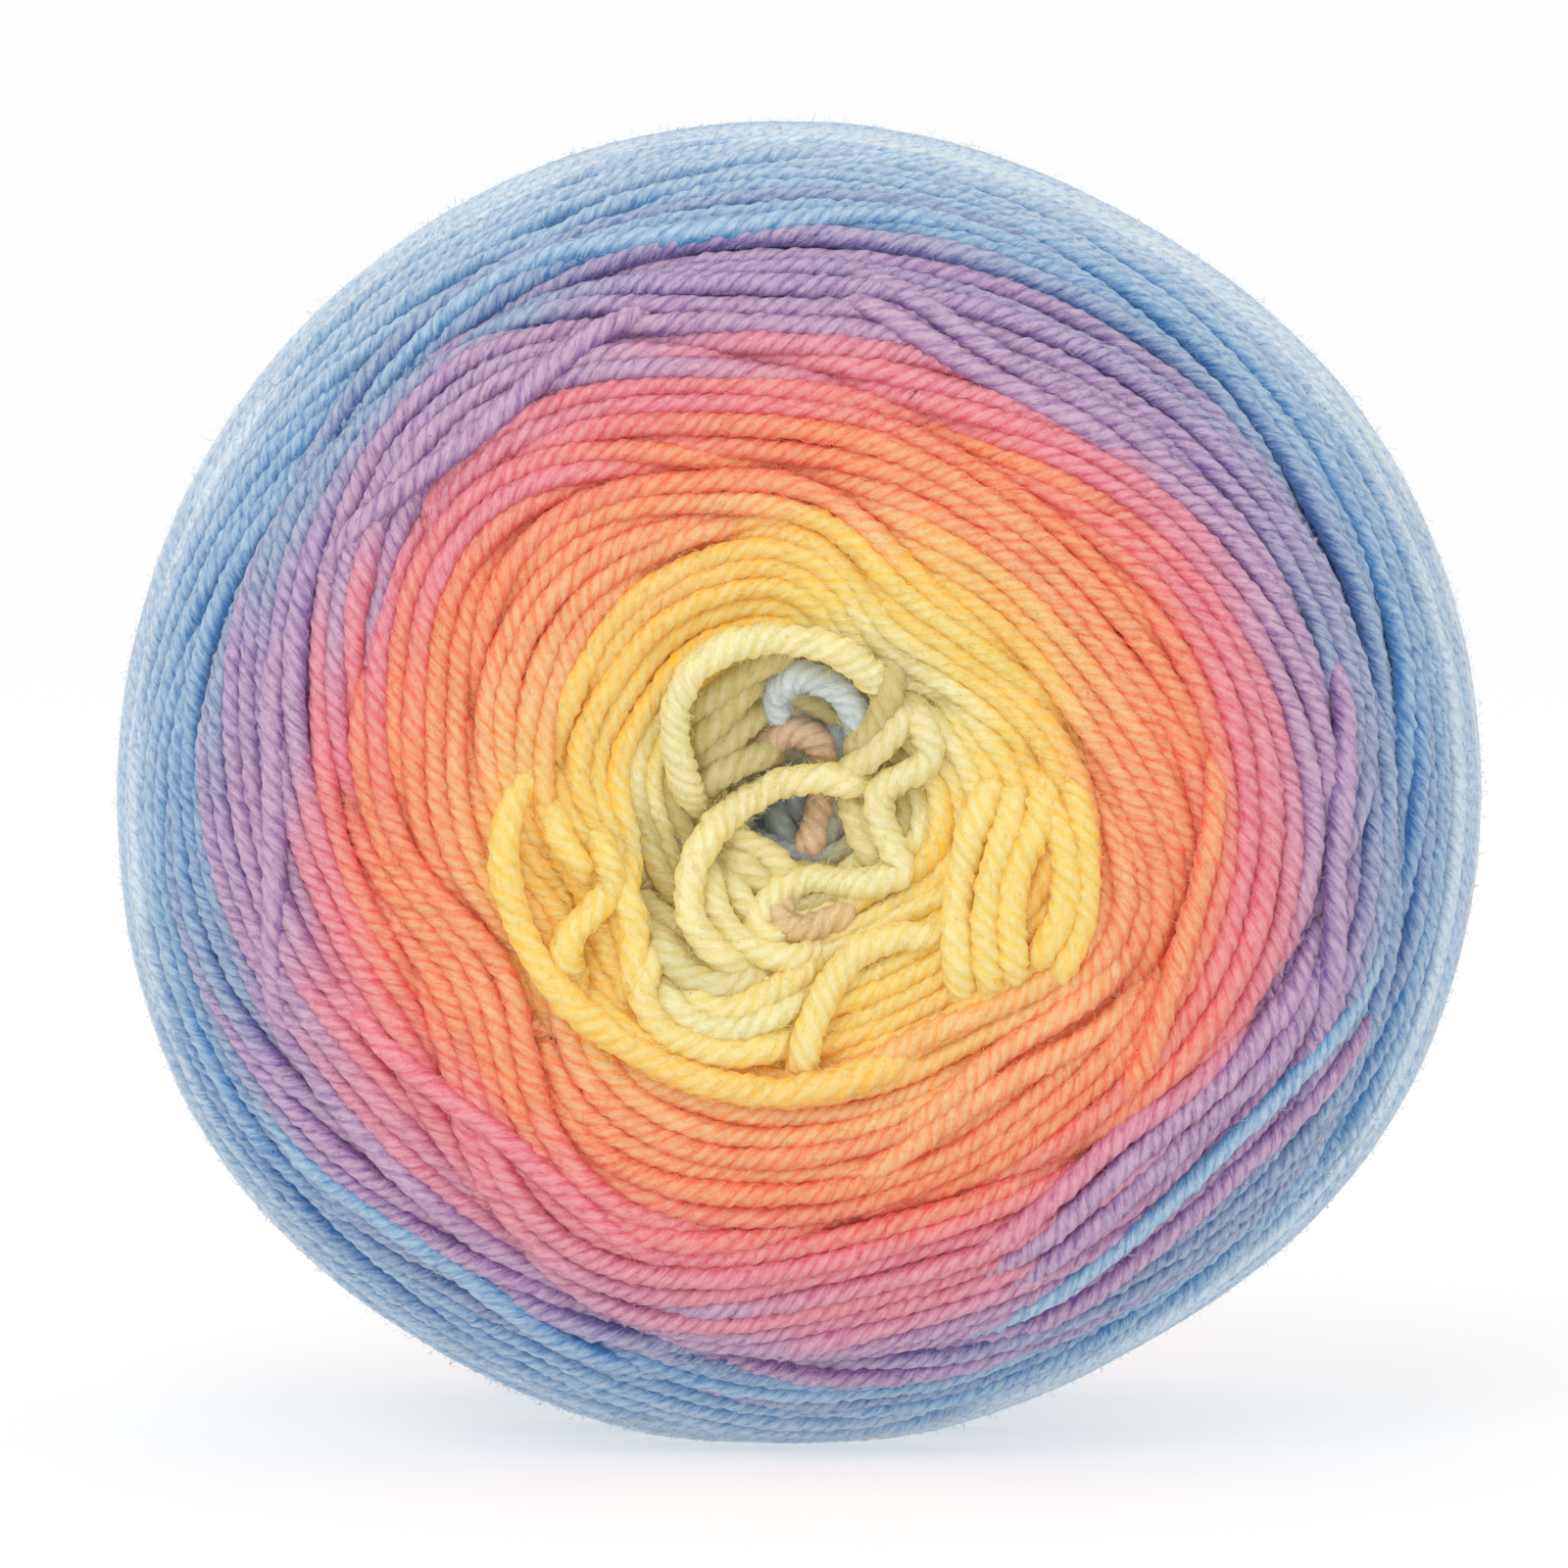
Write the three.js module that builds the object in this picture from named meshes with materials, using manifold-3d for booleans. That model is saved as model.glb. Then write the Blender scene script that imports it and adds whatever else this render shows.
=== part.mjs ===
import * as THREE from "three";
import { mergeVertices } from "three/addons/utils/BufferGeometryUtils.js";
import Module from "manifold-3d";

// A yarn cake standing on its rim: one soft four-ply yarn wound into a thick roll.
// Millimetres, +Z up. The winding axis runs along Y and the banded face looks towards -Y.
// The origin is under the middle of the roll, on the surface that it stands on.

const yarnDiameter = 3.0;
const halfDepth = 40;
const eyeHeight = 61.5;
const shoulderPower = 6;
const frontHollow = { depth: 11, radius: 13 };
const backHollow = { depth: 8, radius: 11 };

// Radius of the rim around the eye, counted from +X towards +Z. It is uneven, as soft yarn winds.
const rimRows = [
  { degrees: 0, radius: 65.3 },
  { degrees: 30, radius: 64.8 },
  { degrees: 60, radius: 62.9 },
  { degrees: 90, radius: 63.3 },
  { degrees: 120, radius: 63.9 },
  { degrees: 150, radius: 64.3 },
  { degrees: 180, radius: 64.6 },
  { degrees: 210, radius: 65.4 },
  { degrees: 240, radius: 63.6 },
  { degrees: 270, radius: 63.2 },
  { degrees: 300, radius: 62.6 },
  { degrees: 330, radius: 65.1 },
];
const meanRadius = rimRows.reduce((sum, row) => sum + row.radius, 0) / rimRows.length;

// Main turns, raised on the roll: near-round ridges on the faces, two crossing sets on the side.
const faceRidges = { pitch: 8.8, height: 1.1, sway: 1.1, slowWave: 8, quickWave: 6 };
const sideRidges = { slant: 4.5, wavesRound: 10, height: 1.1 };

// The relief fades out towards the nest, towards the back eye and where the roll rests.
const frontNest = { bare: 23, full: 31 };
const backNest = { bare: 8, full: 16 };
const foot = { halfDegrees: 24, fadeDegrees: 14, fromShare: 0.7, toShare: 0.9 };

const roundSteps = 64;
const stationSteps = { front: 2.4, side: 3.3, frontLength: 80, tries: 2000 };

const strandSides = 8;
const strandStep = 2.4;
const gap = 0.3;
const cutSize = 200;
const seamTolerance = 0.02;
const weldDistance = 1e-4;

// Slack turns that lie on the face and are part of the roll.
// Each row is a point of the strand: x to the right of the eye, up from the eye, lift out of the face.
const slackTurns = {
  leftLoop: [
    [-22.3, 4.6, -1.2], [-24.4, 2.2, 0.9], [-25.7, -1.4, 1.3], [-26.0, -5.5, 1.4], [-25.1, -9.9, 1.4],
    [-22.9, -14.3, 1.4], [-19.8, -18.2, 1.3], [-15.9, -21.3, 1.2], [-11.1, -23.9, 1.0], [-6.2, -25.7, 0.4],
    [-1.5, -26.8, -1.2],
  ],
  kinkedTurn: [
    [11.2, 9.6, -1.6], [12.4, 7.0, 0.7], [13.0, 4.8, 1.0], [12.3, 3.3, 1.0], [10.6, 2.3, 1.0],
    [9.2, 1.0, 1.1], [8.9, -0.6, 1.2], [9.2, -2.6, 1.2], [9.9, -4.6, 1.2], [10.6, -6.0, 1.2],
    [9.3, -6.9, 1.3], [6.6, -7.5, 1.4], [3.9, -7.3, 1.5], [1.7, -7.2, 1.5], [0.3, -7.7, 1.4],
    [-1.4, -8.8, 1.2], [-2.6, -10.2, 1.0], [-2.8, -11.5, 0.8], [-1.6, -12.6, 0.2], [0.2, -13.2, -1.6],
  ],
  smallHook: [
    [5.8, -9.0, -1.4], [4.7, -10.4, 0.5], [2.6, -11.3, 0.8], [0.9, -11.7, 0.8], [-0.6, -11.2, 0.8],
    [-0.7, -10.0, 0.6], [0.8, -9.3, -1.4],
  ],
  lowerStrand: [
    [15.4, -11.8, -1.4], [12.6, -12.0, 0.8], [9.6, -12.3, 1.2], [6.6, -13.5, 1.3], [4.4, -15.7, 1.4],
    [3.0, -18.2, 1.4], [2.0, -20.8, 1.2], [1.4, -23.2, 0.2], [1.1, -24.8, -1.8],
  ],
  rightInner: [
    [19.6, 3.2, -1.2], [17.5, -0.9, 0.7], [16.1, -5.1, 0.9], [15.4, -9.6, 0.9], [15.6, -14.3, 0.9],
    [16.1, -18.7, -1.0],
  ],
  rightMiddle: [
    [21.4, 2.8, -1.2], [20.1, -2.0, 0.8], [18.6, -6.7, 1.0], [18.0, -11.2, 1.0], [18.2, -14.7, 0.9],
    [18.8, -18.2, -1.0],
  ],
  rightOuter: [
    [23.9, 3.4, -1.2], [22.8, -1.6, 0.8], [21.2, -5.5, 1.0], [20.5, -9.5, 1.0], [20.5, -13.7, 0.9],
    [20.9, -17.8, -1.0],
  ],
  rightCurl: [
    [23.9, -3.3, -1.0], [25.5, -6.0, 0.7], [24.9, -10.4, 0.9], [22.8, -14.0, -1.0],
  ],
  leftSquiggle: [
    [-18.0, -2.5, -1.0], [-16.8, -4.7, 0.7], [-16.3, -7.3, 0.8], [-18.0, -9.8, 0.8], [-19.9, -12.0, 0.8],
    [-20.4, -14.1, 0.6], [-19.5, -16.2, -1.0],
  ],
  bottomCurl: [
    [-11.4, -13.1, -1.0], [-12.9, -15.0, 0.7], [-13.3, -17.5, 0.8], [-12.5, -19.6, 0.8],
    [-10.4, -21.3, 0.8], [-8.2, -22.2, 0.6], [-6.1, -22.4, -1.0],
  ],
};

// The slack inner end of the yarn stands clear of the roll in four stretches, with both ends in the roll.
const looseStretches = {
  upper_loop_cord: [
    [9.2, 9.6, -4.5], [8.6, 10.6, -1.0], [7.6, 11.7, 1.2], [6.2, 12.9, 2.4], [4.2, 14.2, 2.8],
    [-0.5, 15.2, 3.0], [-4.6, 14.7, 2.8], [-8.0, 12.9, 2.7], [-10.0, 9.8, 2.7], [-10.4, 5.9, 2.6],
    [-9.7, 2.3, 2.2], [-8.9, 0.2, 0.8], [-8.3, -1.2, -1.4], [-7.8, -2.2, -4.8],
  ],
  middle_loop_cord: [
    [7.8, 1.0, -4.5], [7.3, 1.4, -1.0], [6.3, 1.8, 2.8], [4.9, 2.0, 5.0], [3.0, 2.2, 5.8],
    [1.2, 2.1, 5.7], [-0.8, 1.7, 5.0], [-3.3, 0.4, 4.3], [-5.9, -1.3, 4.1], [-7.9, -3.9, 3.7],
    [-9.0, -6.8, 2.8], [-9.1, -9.5, 2.4], [-8.2, -11.9, 2.2], [-6.4, -13.8, 1.6], [-4.7, -14.9, -0.2],
    [-3.6, -15.4, -4.5],
  ],
  blue_loop_cord: [
    [-1.9, 8.9, -7.5], [-1.6, 9.4, -2.5], [-1.1, 10.1, 0.6], [-0.3, 11.0, 1.6], [0.9, 11.6, 1.8],
    [2.7, 11.4, 1.6], [4.5, 10.3, 1.5], [5.9, 8.7, 1.6], [6.5, 7.1, 1.3], [6.6, 6.1, 0.2],
    [6.5, 5.3, -2.5], [6.3, 4.8, -8.0],
  ],
  brown_loop_cord: [
    [-5.7, 2.9, -6.0], [-4.9, 3.7, -1.5], [-3.3, 4.7, 1.6], [-1.7, 5.7, 2.0], [0.1, 6.4, 2.1],
    [1.8, 6.1, 2.1], [2.9, 5.1, 1.9], [3.2, 3.4, 1.8], [3.0, 0.8, 1.8], [2.6, -1.8, 1.8],
    [1.9, -4.0, 1.4], [1.3, -5.2, -1.2], [1.0, -5.9, -6.0],
  ],
};

const yarnColours = {
  wound_body: 0xe9a38d,
  upper_loop_cord: 0xeee0a0,
  middle_loop_cord: 0xeee29a,
  blue_loop_cord: 0xbccad6,
  brown_loop_cord: 0xc9a48f,
};

const wasm = await Module();
wasm.setup();

// Rim radius in a direction, drawn smoothly through the rows.
function rimRadius(angle) {
  const spacing = (2 * Math.PI) / rimRows.length;
  const place = THREE.MathUtils.euclideanModulo(angle, 2 * Math.PI) / spacing;
  const row = Math.floor(place);
  const t = place - row;
  const [a, b, c, d] = [-1, 0, 1, 2].map((k) => rimRows[(row + k + rimRows.length) % rimRows.length].radius);
  return b + 0.5 * t * (c - a + t * (2 * a - 5 * b + 4 * c - d + t * (3 * (b - c) + d - a)));
}

// Reach in a direction for a share of the way out. Near the eye the roll is round, whatever its rim does.
function reach(share, angle) {
  return share * (meanRadius + (rimRadius(angle) - meanRadius) * share);
}

function shareAt(distance, angle) {
  let share = distance / meanRadius;
  for (let pass = 0; pass < 4; pass += 1) {
    share *= distance / reach(share, angle);
  }
  return share;
}

// Distance of a face from the roll's middle plane: flat with a round shoulder, hollowed at the eye.
function faceDistance(share, hollow) {
  const crown = halfDepth * Math.sqrt(Math.max(0, 1 - share ** shoulderPower));
  return crown - hollow.depth * Math.exp(-((share * meanRadius / hollow.radius) ** 2));
}

function smoothStep(from, to, value) {
  return THREE.MathUtils.smoothstep(value, from, to);
}

// How much of the relief stays: none in the nest of the front face, none where the roll rests.
function reliefShare(distance, angle, onFront) {
  const { bare, full } = onFront ? frontNest : backNest;
  const pastNest = smoothStep(bare, full, distance);
  const fromFoot = Math.abs(THREE.MathUtils.radToDeg(Math.atan2(Math.cos(angle), -Math.sin(angle))));
  const pastFoot = smoothStep(foot.halfDegrees, foot.halfDegrees + foot.fadeDegrees, fromFoot);
  const nearRim = smoothStep(foot.fromShare, foot.toShare, distance / meanRadius);
  return pastNest * (1 - nearRim * (1 - pastFoot));
}

// Near-round ridges that drift outwards and cross at a shallow slope.
function faceRelief(distance, angle) {
  const { slowWave, quickWave } = faceRidges;
  const sway = Math.sin(2 * angle + distance / slowWave) + Math.sin(3 * angle - distance / quickWave) / 2;
  const phase = (2 * Math.PI * (distance + faceRidges.sway * sway)) / faceRidges.pitch + angle;
  return faceRidges.height * Math.cos(phase);
}

// Two sets of slanting ridges. The higher one shows, as where turns cross.
function sideRelief(y, angle) {
  const across = (Math.PI * sideRidges.slant * y) / halfDepth;
  const round = sideRidges.wavesRound * angle;
  const sets = [Math.cos(round + across), Math.cos(round - across + 1)];
  return sideRidges.height * Math.max(...sets) - sideRidges.height / 2;
}

// Profile from the front eye over the rim to the back eye, at the even steps that each zone asks for.
function profileStations() {
  const fine = [];
  const last = stationSteps.tries;
  for (let k = 0; k <= last; k += 1) {
    const turn = (Math.PI * k) / last;
    const share = Math.sin(turn) ** (2 / shoulderPower);
    const onFront = turn <= Math.PI / 2;
    const depth = faceDistance(share, onFront ? frontHollow : backHollow);
    fine.push({ share, y: onFront ? -depth : depth, onFront });
  }
  const stations = [fine[0]];
  let length = 0;
  let nextStop = stationSteps.front;
  for (let k = 1; k <= last; k += 1) {
    length += Math.hypot(meanRadius * (fine[k].share - fine[k - 1].share), fine[k].y - fine[k - 1].y);
    if (length >= nextStop) {
      stations.push(fine[k]);
      nextStop = length + (length < stationSteps.frontLength ? stationSteps.front : stationSteps.side);
    }
  }
  stations[stations.length - 1] = fine[last];
  return stations;
}

// A point of the roll's skin, moved outwards by its relief.
function skinPoint(station, angle) {
  const distance = reach(station.share, angle);
  const face = Math.min(1, Math.abs(station.y) / halfDepth) ** 3;
  const relief = face * faceRelief(distance, angle) + (1 - face) * sideRelief(station.y, angle);
  const raised = relief * reliefShare(distance, angle, station.onFront);
  const out = distance + raised * Math.sqrt(1 - face);
  const y = station.y + Math.sign(station.y) * raised * Math.sqrt(face);
  return new THREE.Vector3(out * Math.cos(angle), y, eyeHeight + out * Math.sin(angle));
}

// The roll's skin as rings around the winding axis, closed by one point at each eye.
function skinGeometry() {
  const stations = profileStations();
  const last = stations.length - 1;
  const points = [skinPoint(stations[0], 0)];
  for (let s = 1; s < last; s += 1) {
    for (let k = 0; k < roundSteps; k += 1) {
      points.push(skinPoint(stations[s], (2 * Math.PI * k) / roundSteps));
    }
  }
  points.push(skinPoint(stations[last], 0));
  const at = (s, k) => 1 + (s - 1) * roundSteps + (k % roundSteps);
  const backEye = points.length - 1;
  const faces = [];
  for (let k = 0; k < roundSteps; k += 1) {
    faces.push(0, at(1, k), at(1, k + 1));
    faces.push(backEye, at(last - 1, k + 1), at(last - 1, k));
    for (let s = 1; s < last - 1; s += 1) {
      faces.push(at(s, k), at(s + 1, k), at(s + 1, k + 1));
      faces.push(at(s, k), at(s + 1, k + 1), at(s, k + 1));
    }
  }
  const geometry = new THREE.BufferGeometry().setFromPoints(points);
  geometry.setIndex(faces);
  return geometry;
}

// Place of a strand's centre in front of the front face.
function onFace([x, up, lift]) {
  const angle = Math.atan2(up, x);
  const share = shareAt(Math.hypot(x, up), angle);
  return new THREE.Vector3(x, -faceDistance(share, frontHollow) - lift, eyeHeight + up);
}

// A round strand along its route.
function strandGeometry(route, radius) {
  const curve = new THREE.CatmullRomCurve3(route.map(onFace), false, "centripetal");
  const section = new THREE.Shape();
  for (let k = 0; k < strandSides; k += 1) {
    const angle = (2 * Math.PI * k) / strandSides;
    const corner = [radius * Math.cos(angle), radius * Math.sin(angle)];
    if (k === 0) section.moveTo(...corner);
    else section.lineTo(...corner);
  }
  section.closePath();
  const steps = Math.round(curve.getLength() / strandStep);
  return new THREE.ExtrudeGeometry(section, { steps, extrudePath: curve });
}

function toSolid(geometry) {
  const bare = geometry.clone();
  bare.deleteAttribute("normal");
  bare.deleteAttribute("uv");
  const merged = mergeVertices(bare, weldDistance);
  const mesh = new wasm.Mesh({
    numProp: 3,
    vertProperties: merged.attributes.position.array,
    triVerts: new Uint32Array(merged.index.array),
  });
  return new wasm.Manifold(mesh);
}

function toGeometry(solid) {
  const mesh = solid.getMesh();
  const geometry = new THREE.BufferGeometry();
  geometry.setAttribute("position", new THREE.BufferAttribute(mesh.vertProperties, 3));
  geometry.setIndex(new THREE.BufferAttribute(mesh.triVerts, 1));
  geometry.computeVertexNormals();
  return geometry;
}

// The roll with its slack turns, flat where it rests, with room for the loose stretches.
function woundBody() {
  let solid = toSolid(skinGeometry());
  for (const route of Object.values(slackTurns)) {
    solid = solid.add(toSolid(strandGeometry(route, yarnDiameter / 2)));
  }
  const below = new THREE.BoxGeometry(cutSize, cutSize, cutSize).translate(0, 0, -cutSize / 2);
  solid = solid.subtract(toSolid(below));
  for (const route of Object.values(looseStretches)) {
    solid = solid.subtract(toSolid(strandGeometry(route, yarnDiameter / 2 + gap)));
  }
  const pieces = solid.decompose().sort((a, b) => b.volume() - a.volume());
  return toGeometry(pieces[0].simplify(seamTolerance));
}

function namedMesh(name, geometry) {
  const material = new THREE.MeshStandardMaterial({
    color: yarnColours[name],
    roughness: 0.95,
    metalness: 0,
  });
  const mesh = new THREE.Mesh(geometry, material);
  mesh.name = name;
  return mesh;
}

const cake = new THREE.Group();
cake.add(namedMesh("wound_body", woundBody()));
for (const [name, route] of Object.entries(looseStretches)) {
  cake.add(namedMesh(name, strandGeometry(route, yarnDiameter / 2)));
}

export default cake;
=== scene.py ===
import math
import bpy
import numpy as np
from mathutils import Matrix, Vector


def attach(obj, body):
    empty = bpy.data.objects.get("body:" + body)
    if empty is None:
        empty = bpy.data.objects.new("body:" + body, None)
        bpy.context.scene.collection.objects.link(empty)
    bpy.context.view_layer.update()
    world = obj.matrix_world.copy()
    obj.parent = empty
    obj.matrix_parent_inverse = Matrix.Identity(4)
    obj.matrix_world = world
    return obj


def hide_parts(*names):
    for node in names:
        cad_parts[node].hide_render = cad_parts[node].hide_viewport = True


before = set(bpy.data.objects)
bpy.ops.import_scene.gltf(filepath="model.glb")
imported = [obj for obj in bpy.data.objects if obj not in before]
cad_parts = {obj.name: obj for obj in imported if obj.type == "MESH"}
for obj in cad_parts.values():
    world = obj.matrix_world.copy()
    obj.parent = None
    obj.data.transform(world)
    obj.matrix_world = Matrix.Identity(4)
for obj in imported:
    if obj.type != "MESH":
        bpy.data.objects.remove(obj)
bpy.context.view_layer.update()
mm = 0.001
fullTurn = 2 * math.pi
print("frame loaded")

# The roll's form, in millimetres: the same sizes as the solid it is wound over.
roll = {
    "eyeHeight": 61.5,
    "halfDepth": 40.0,
    "shoulderPower": 6,
    "frontHollow": (11.0, 13.0),  # depth, radius
    "backHollow": (8.0, 11.0),
    "rim": [65.3, 64.8, 62.9, 63.3, 63.9, 64.3, 64.6, 65.4, 63.6, 63.2, 62.6, 65.1],  # every 30 degrees
    "samples": 6001,
    "sampleStep": 0.1,
}
rimTable = np.array(roll["rim"])
meanRadius = rimTable.mean()

# The yarn: four plies laid together with an S twist. Sizes are in millimetres.
yarn = {
    "looseRadius": 1.5,
    "packedRadius": 1.26,
    "hardRadius": 0.8,  # the part that doesn't give when strands cross
    "pressed": 0.95,  # height of a packed strand, as a share of that radius
    "rowPitch": 1.93,  # packed rows, middle to middle
    "plies": 4,
    "plyGroove": 0.14,  # how far a groove between plies goes in, as a share of the radius
    "twistPitch": 6.3,  # length of one full turn of a ply
    "twistSpread": (0.85, 1.15),  # some strands are twisted harder than others
    "twistStart": (0, 400),
    "twistDrifts": [(0.45, 4.3), (0.3, 1.9)],  # how far the twist runs ahead and back, over what lengths
    "swell": (0.06, 3.1, 7.3),  # share by which a strand swells, over what lengths
    "plump": (0.07, 1.5, 0.3, 2.1),  # the same for a ply: share, length, and what each next ply adds to both
    "fluff": 0.045,  # scatter of the surface, as a share of the radius
    "shading": (0.0, 0.98),  # painted shade: heights on a strand where the lit crest colour starts and is complete; lower down it takes the painted shade colour
}
anyPhase = (0, 6)  # a wave starts anywhere in this
tiny = 1e-9  # keeps a length of nothing from being divided by


def rimRadius(angle):
    place = np.mod(angle, fullTurn) / fullTurn * len(rimTable)
    row = np.floor(place).astype(int)
    t = place - row
    a, b, c, d = [rimTable[(row + k) % len(rimTable)] for k in (-1, 0, 1, 2)]
    return b + 0.5 * t * (c - a + t * (2 * a - 5 * b + 4 * c - d + t * (3 * (b - c) + d - a)))


def reach(share, angle):
    return share * (meanRadius + (rimRadius(angle) - meanRadius) * share)


def shareAt(distance, angle):
    share = distance / meanRadius
    for _ in range(4):
        share = share * distance / np.maximum(reach(share, angle), 1e-6)
    return share


def faceDistance(share, hollow):
    crown = roll["halfDepth"] * np.sqrt(np.clip(1 - share ** roll["shoulderPower"], 0, 1))
    return crown - hollow[0] * np.exp(-((share * meanRadius / hollow[1]) ** 2))


def smooth(low, high, value):
    t = np.clip((value - low) / (high - low), 0, 1)
    return t * t * (3 - 2 * t)


def rollProfile():
    turn = np.linspace(0, math.pi, roll["samples"])
    share = np.sin(turn).clip(0, 1) ** (2 / roll["shoulderPower"])
    onFront = turn <= math.pi / 2
    y = np.where(onFront, -faceDistance(share, roll["frontHollow"]), faceDistance(share, roll["backHollow"]))
    steps = np.hypot(np.diff(share) * meanRadius, np.diff(y))
    run = np.concatenate([[0], np.cumsum(steps)])
    even = np.arange(0, run[-1], roll["sampleStep"])
    share = np.interp(even, run, share)
    y = np.interp(even, run, y)
    outwards = np.gradient(y, even)  # the normal's part away from the winding axis
    alongAxis = -np.gradient(share * meanRadius, even)
    size = np.hypot(outwards, alongAxis)
    return {"run": even, "share": share, "y": y, "nr": outwards / size, "ny": alongAxis / size}


profile = rollProfile()
wholeRun = profile["run"][-1]


def fromProfile(key, run):
    return np.interp(run, profile["run"], profile[key])


def onRoll(run, angle, lift):
    # A place on the roll: run goes from the front eye over the rim to the back eye.
    nr, ny = fromProfile("nr", run), fromProfile("ny", run)
    distance = reach(fromProfile("share", run), angle) + lift * nr
    y = fromProfile("y", run) + lift * ny
    points = np.stack([distance * np.cos(angle), y, roll["eyeHeight"] + distance * np.sin(angle)], -1)
    outward = np.stack([nr * np.cos(angle), ny, nr * np.sin(angle)], -1)
    return points, outward


def onFace(route):
    # Rows of x to the right of the eye, up from the eye, lift out of the face.
    rows = np.array(route, float)
    angle = np.arctan2(rows[:, 1], rows[:, 0])
    share = shareAt(np.hypot(rows[:, 0], rows[:, 1]), angle)
    y = -faceDistance(share, roll["frontHollow"]) - rows[:, 2]
    return np.stack([rows[:, 0], y, roll["eyeHeight"] + rows[:, 1]], -1)


def throughPoints(points, step):
    # A smooth curve through the points, at even steps.
    samplesEach = 40
    gaps = np.sqrt(np.linalg.norm(np.diff(points, axis=0), axis=1))
    knots = np.concatenate([[0], np.cumsum(gaps)])
    slopes = np.gradient(points, knots, axis=0)
    fine = np.linspace(0, knots[-1], samplesEach * len(points))
    k = np.clip(np.searchsorted(knots, fine) - 1, 0, len(points) - 2)
    h = (knots[k + 1] - knots[k])[:, None]
    t = ((fine - knots[k])[:, None]) / h
    curve = ((1 + 2 * t) * (1 - t) ** 2 * points[k] + t * (1 - t) ** 2 * h * slopes[k]
             + t * t * (3 - 2 * t) * points[k + 1] + t * t * (t - 1) * h * slopes[k + 1])
    return evenSteps(curve, step)[0]


def lengthAlong(points):
    return np.concatenate([[0], np.cumsum(np.linalg.norm(np.diff(points, axis=0), axis=1))])


def evenSteps(points, step, *others):
    length = lengthAlong(points)
    count = max(4, int(round(length[-1] / step)) + 1)
    stops = np.linspace(0, length[-1], count)

    def resample(values):
        if values.ndim > 1:
            return np.stack([np.interp(stops, length, column) for column in values.T], -1)
        return np.interp(stops, length, values)

    return [resample(np.asarray(values, float)) for values in (points, *others)]


# The camera stands as the photographer's did: near square to the face, a little above the middle.
cameraPlan = {
    "distance": 850 * mm,
    "azimuth": 1.0,
    "elevation": 2.6,
    "aim": Vector((-1.1 * mm, 0, 61.6 * mm)),
    "frameWidth": 150.6 * mm,  # what the frame spans at the roll's middle
    "sensor": 36.0,
    "clip": (0.01, 20),
}


def makeCamera():
    plan = cameraPlan
    azimuth, elevation = math.radians(plan["azimuth"]), math.radians(plan["elevation"])
    towards = Vector((math.sin(azimuth) * math.cos(elevation), -math.cos(azimuth) * math.cos(elevation),
                      math.sin(elevation)))
    camera = bpy.data.objects.new("camera", bpy.data.cameras.new("camera"))
    camera.location = plan["aim"] + towards * plan["distance"]
    camera.rotation_euler = (-towards).to_track_quat("-Z", "Y").to_euler()
    camera.data.sensor_width = plan["sensor"]
    camera.data.lens = plan["sensor"] * plan["distance"] / plan["frameWidth"]
    camera.data.clip_start, camera.data.clip_end = plan["clip"]
    bpy.context.collection.objects.link(camera)
    bpy.context.scene.camera = camera


makeCamera()
bpy.context.scene.view_settings.view_transform = "Standard"  # the dye colours come out as they are given
print("camera placed")

# Where the dye changes, as distances from the eye in millimetres. The winding drifts, so each
# direction has its own row. Columns: degrees, first orange, first pink, first purple, first blue, first pale.
bandRows = np.array([
    (0, 27.0, 39.2, 44.2, 52.4, 60.6),
    (30, 28.6, 38.4, 43.6, 53.0, 59.4),
    (60, 27.6, 37.6, 44.8, 52.2, 58.2),
    (90, 25.2, 35.2, 42.8, 52.6, 57.0),
    (120, 22.8, 36.2, 44.0, 53.4, 57.4),
    (150, 24.6, 38.8, 44.8, 52.6, 58.0),
    (180, 26.6, 40.8, 45.6, 52.8, 58.8),
    (210, 27.4, 40.4, 47.2, 55.0, 60.2),
    (240, 29.0, 39.6, 49.4, 55.8, 60.2),
    (270, 27.2, 39.4, 50.0, 54.4, 57.6),
    (300, 29.6, 41.8, 50.4, 56.0, 59.8),
    (330, 29.0, 41.6, 48.2, 55.4, 61.2),
])
bandNominal = np.array([0, 5, 14, 26, 38, 45, 52, 58, 66], float)  # the same changes on the dye scale
dyeScale = 70.0  # the dye scale's end, as a distance from the eye
nestEdge = {"middle": 13.5, "swell": 3.0, "towards": 50}  # where the olive ends: wider on one diagonal


def dyeAt(distance, angle):
    place = np.degrees(np.mod(angle, fullTurn))
    edges = [np.interp(place, bandRows[:, 0], bandRows[:, k], period=360) for k in range(1, 6)]
    olive = nestEdge["middle"] + nestEdge["swell"] * np.cos(2 * np.radians(place - nestEdge["towards"]))
    edges = [np.zeros_like(olive), np.full_like(olive, bandNominal[1]), olive, *edges,
             np.full_like(olive, bandNominal[-1])]
    dye = np.zeros_like(distance)
    for near, far, low, high in zip(edges, edges[1:], bandNominal, bandNominal[1:]):
        share = np.clip((distance - near) / (far - near), 0, 1)
        dye = np.where(distance >= near, low + share * (high - low), dye)
    return dye / dyeScale


def newSkein(columns, carved=True):
    # Collects swept yarn until it becomes one mesh. Carved yarn has its plies in the mesh too.
    return {"columns": columns, "carved": carved, "count": 0, "strands": [], "quads": [], "caps": []}


def ringQuads(first, rings, columns):
    # Four-sided faces that join rings of points, each with so many points.
    ring = first + np.arange(rings - 1)[:, None] * columns
    here = np.arange(columns)[None, :]
    beside, after = (here + 1) % columns, ring + columns
    return np.stack([ring + here, ring + beside, after + beside, after + here], -1).reshape(-1, 4)


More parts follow.
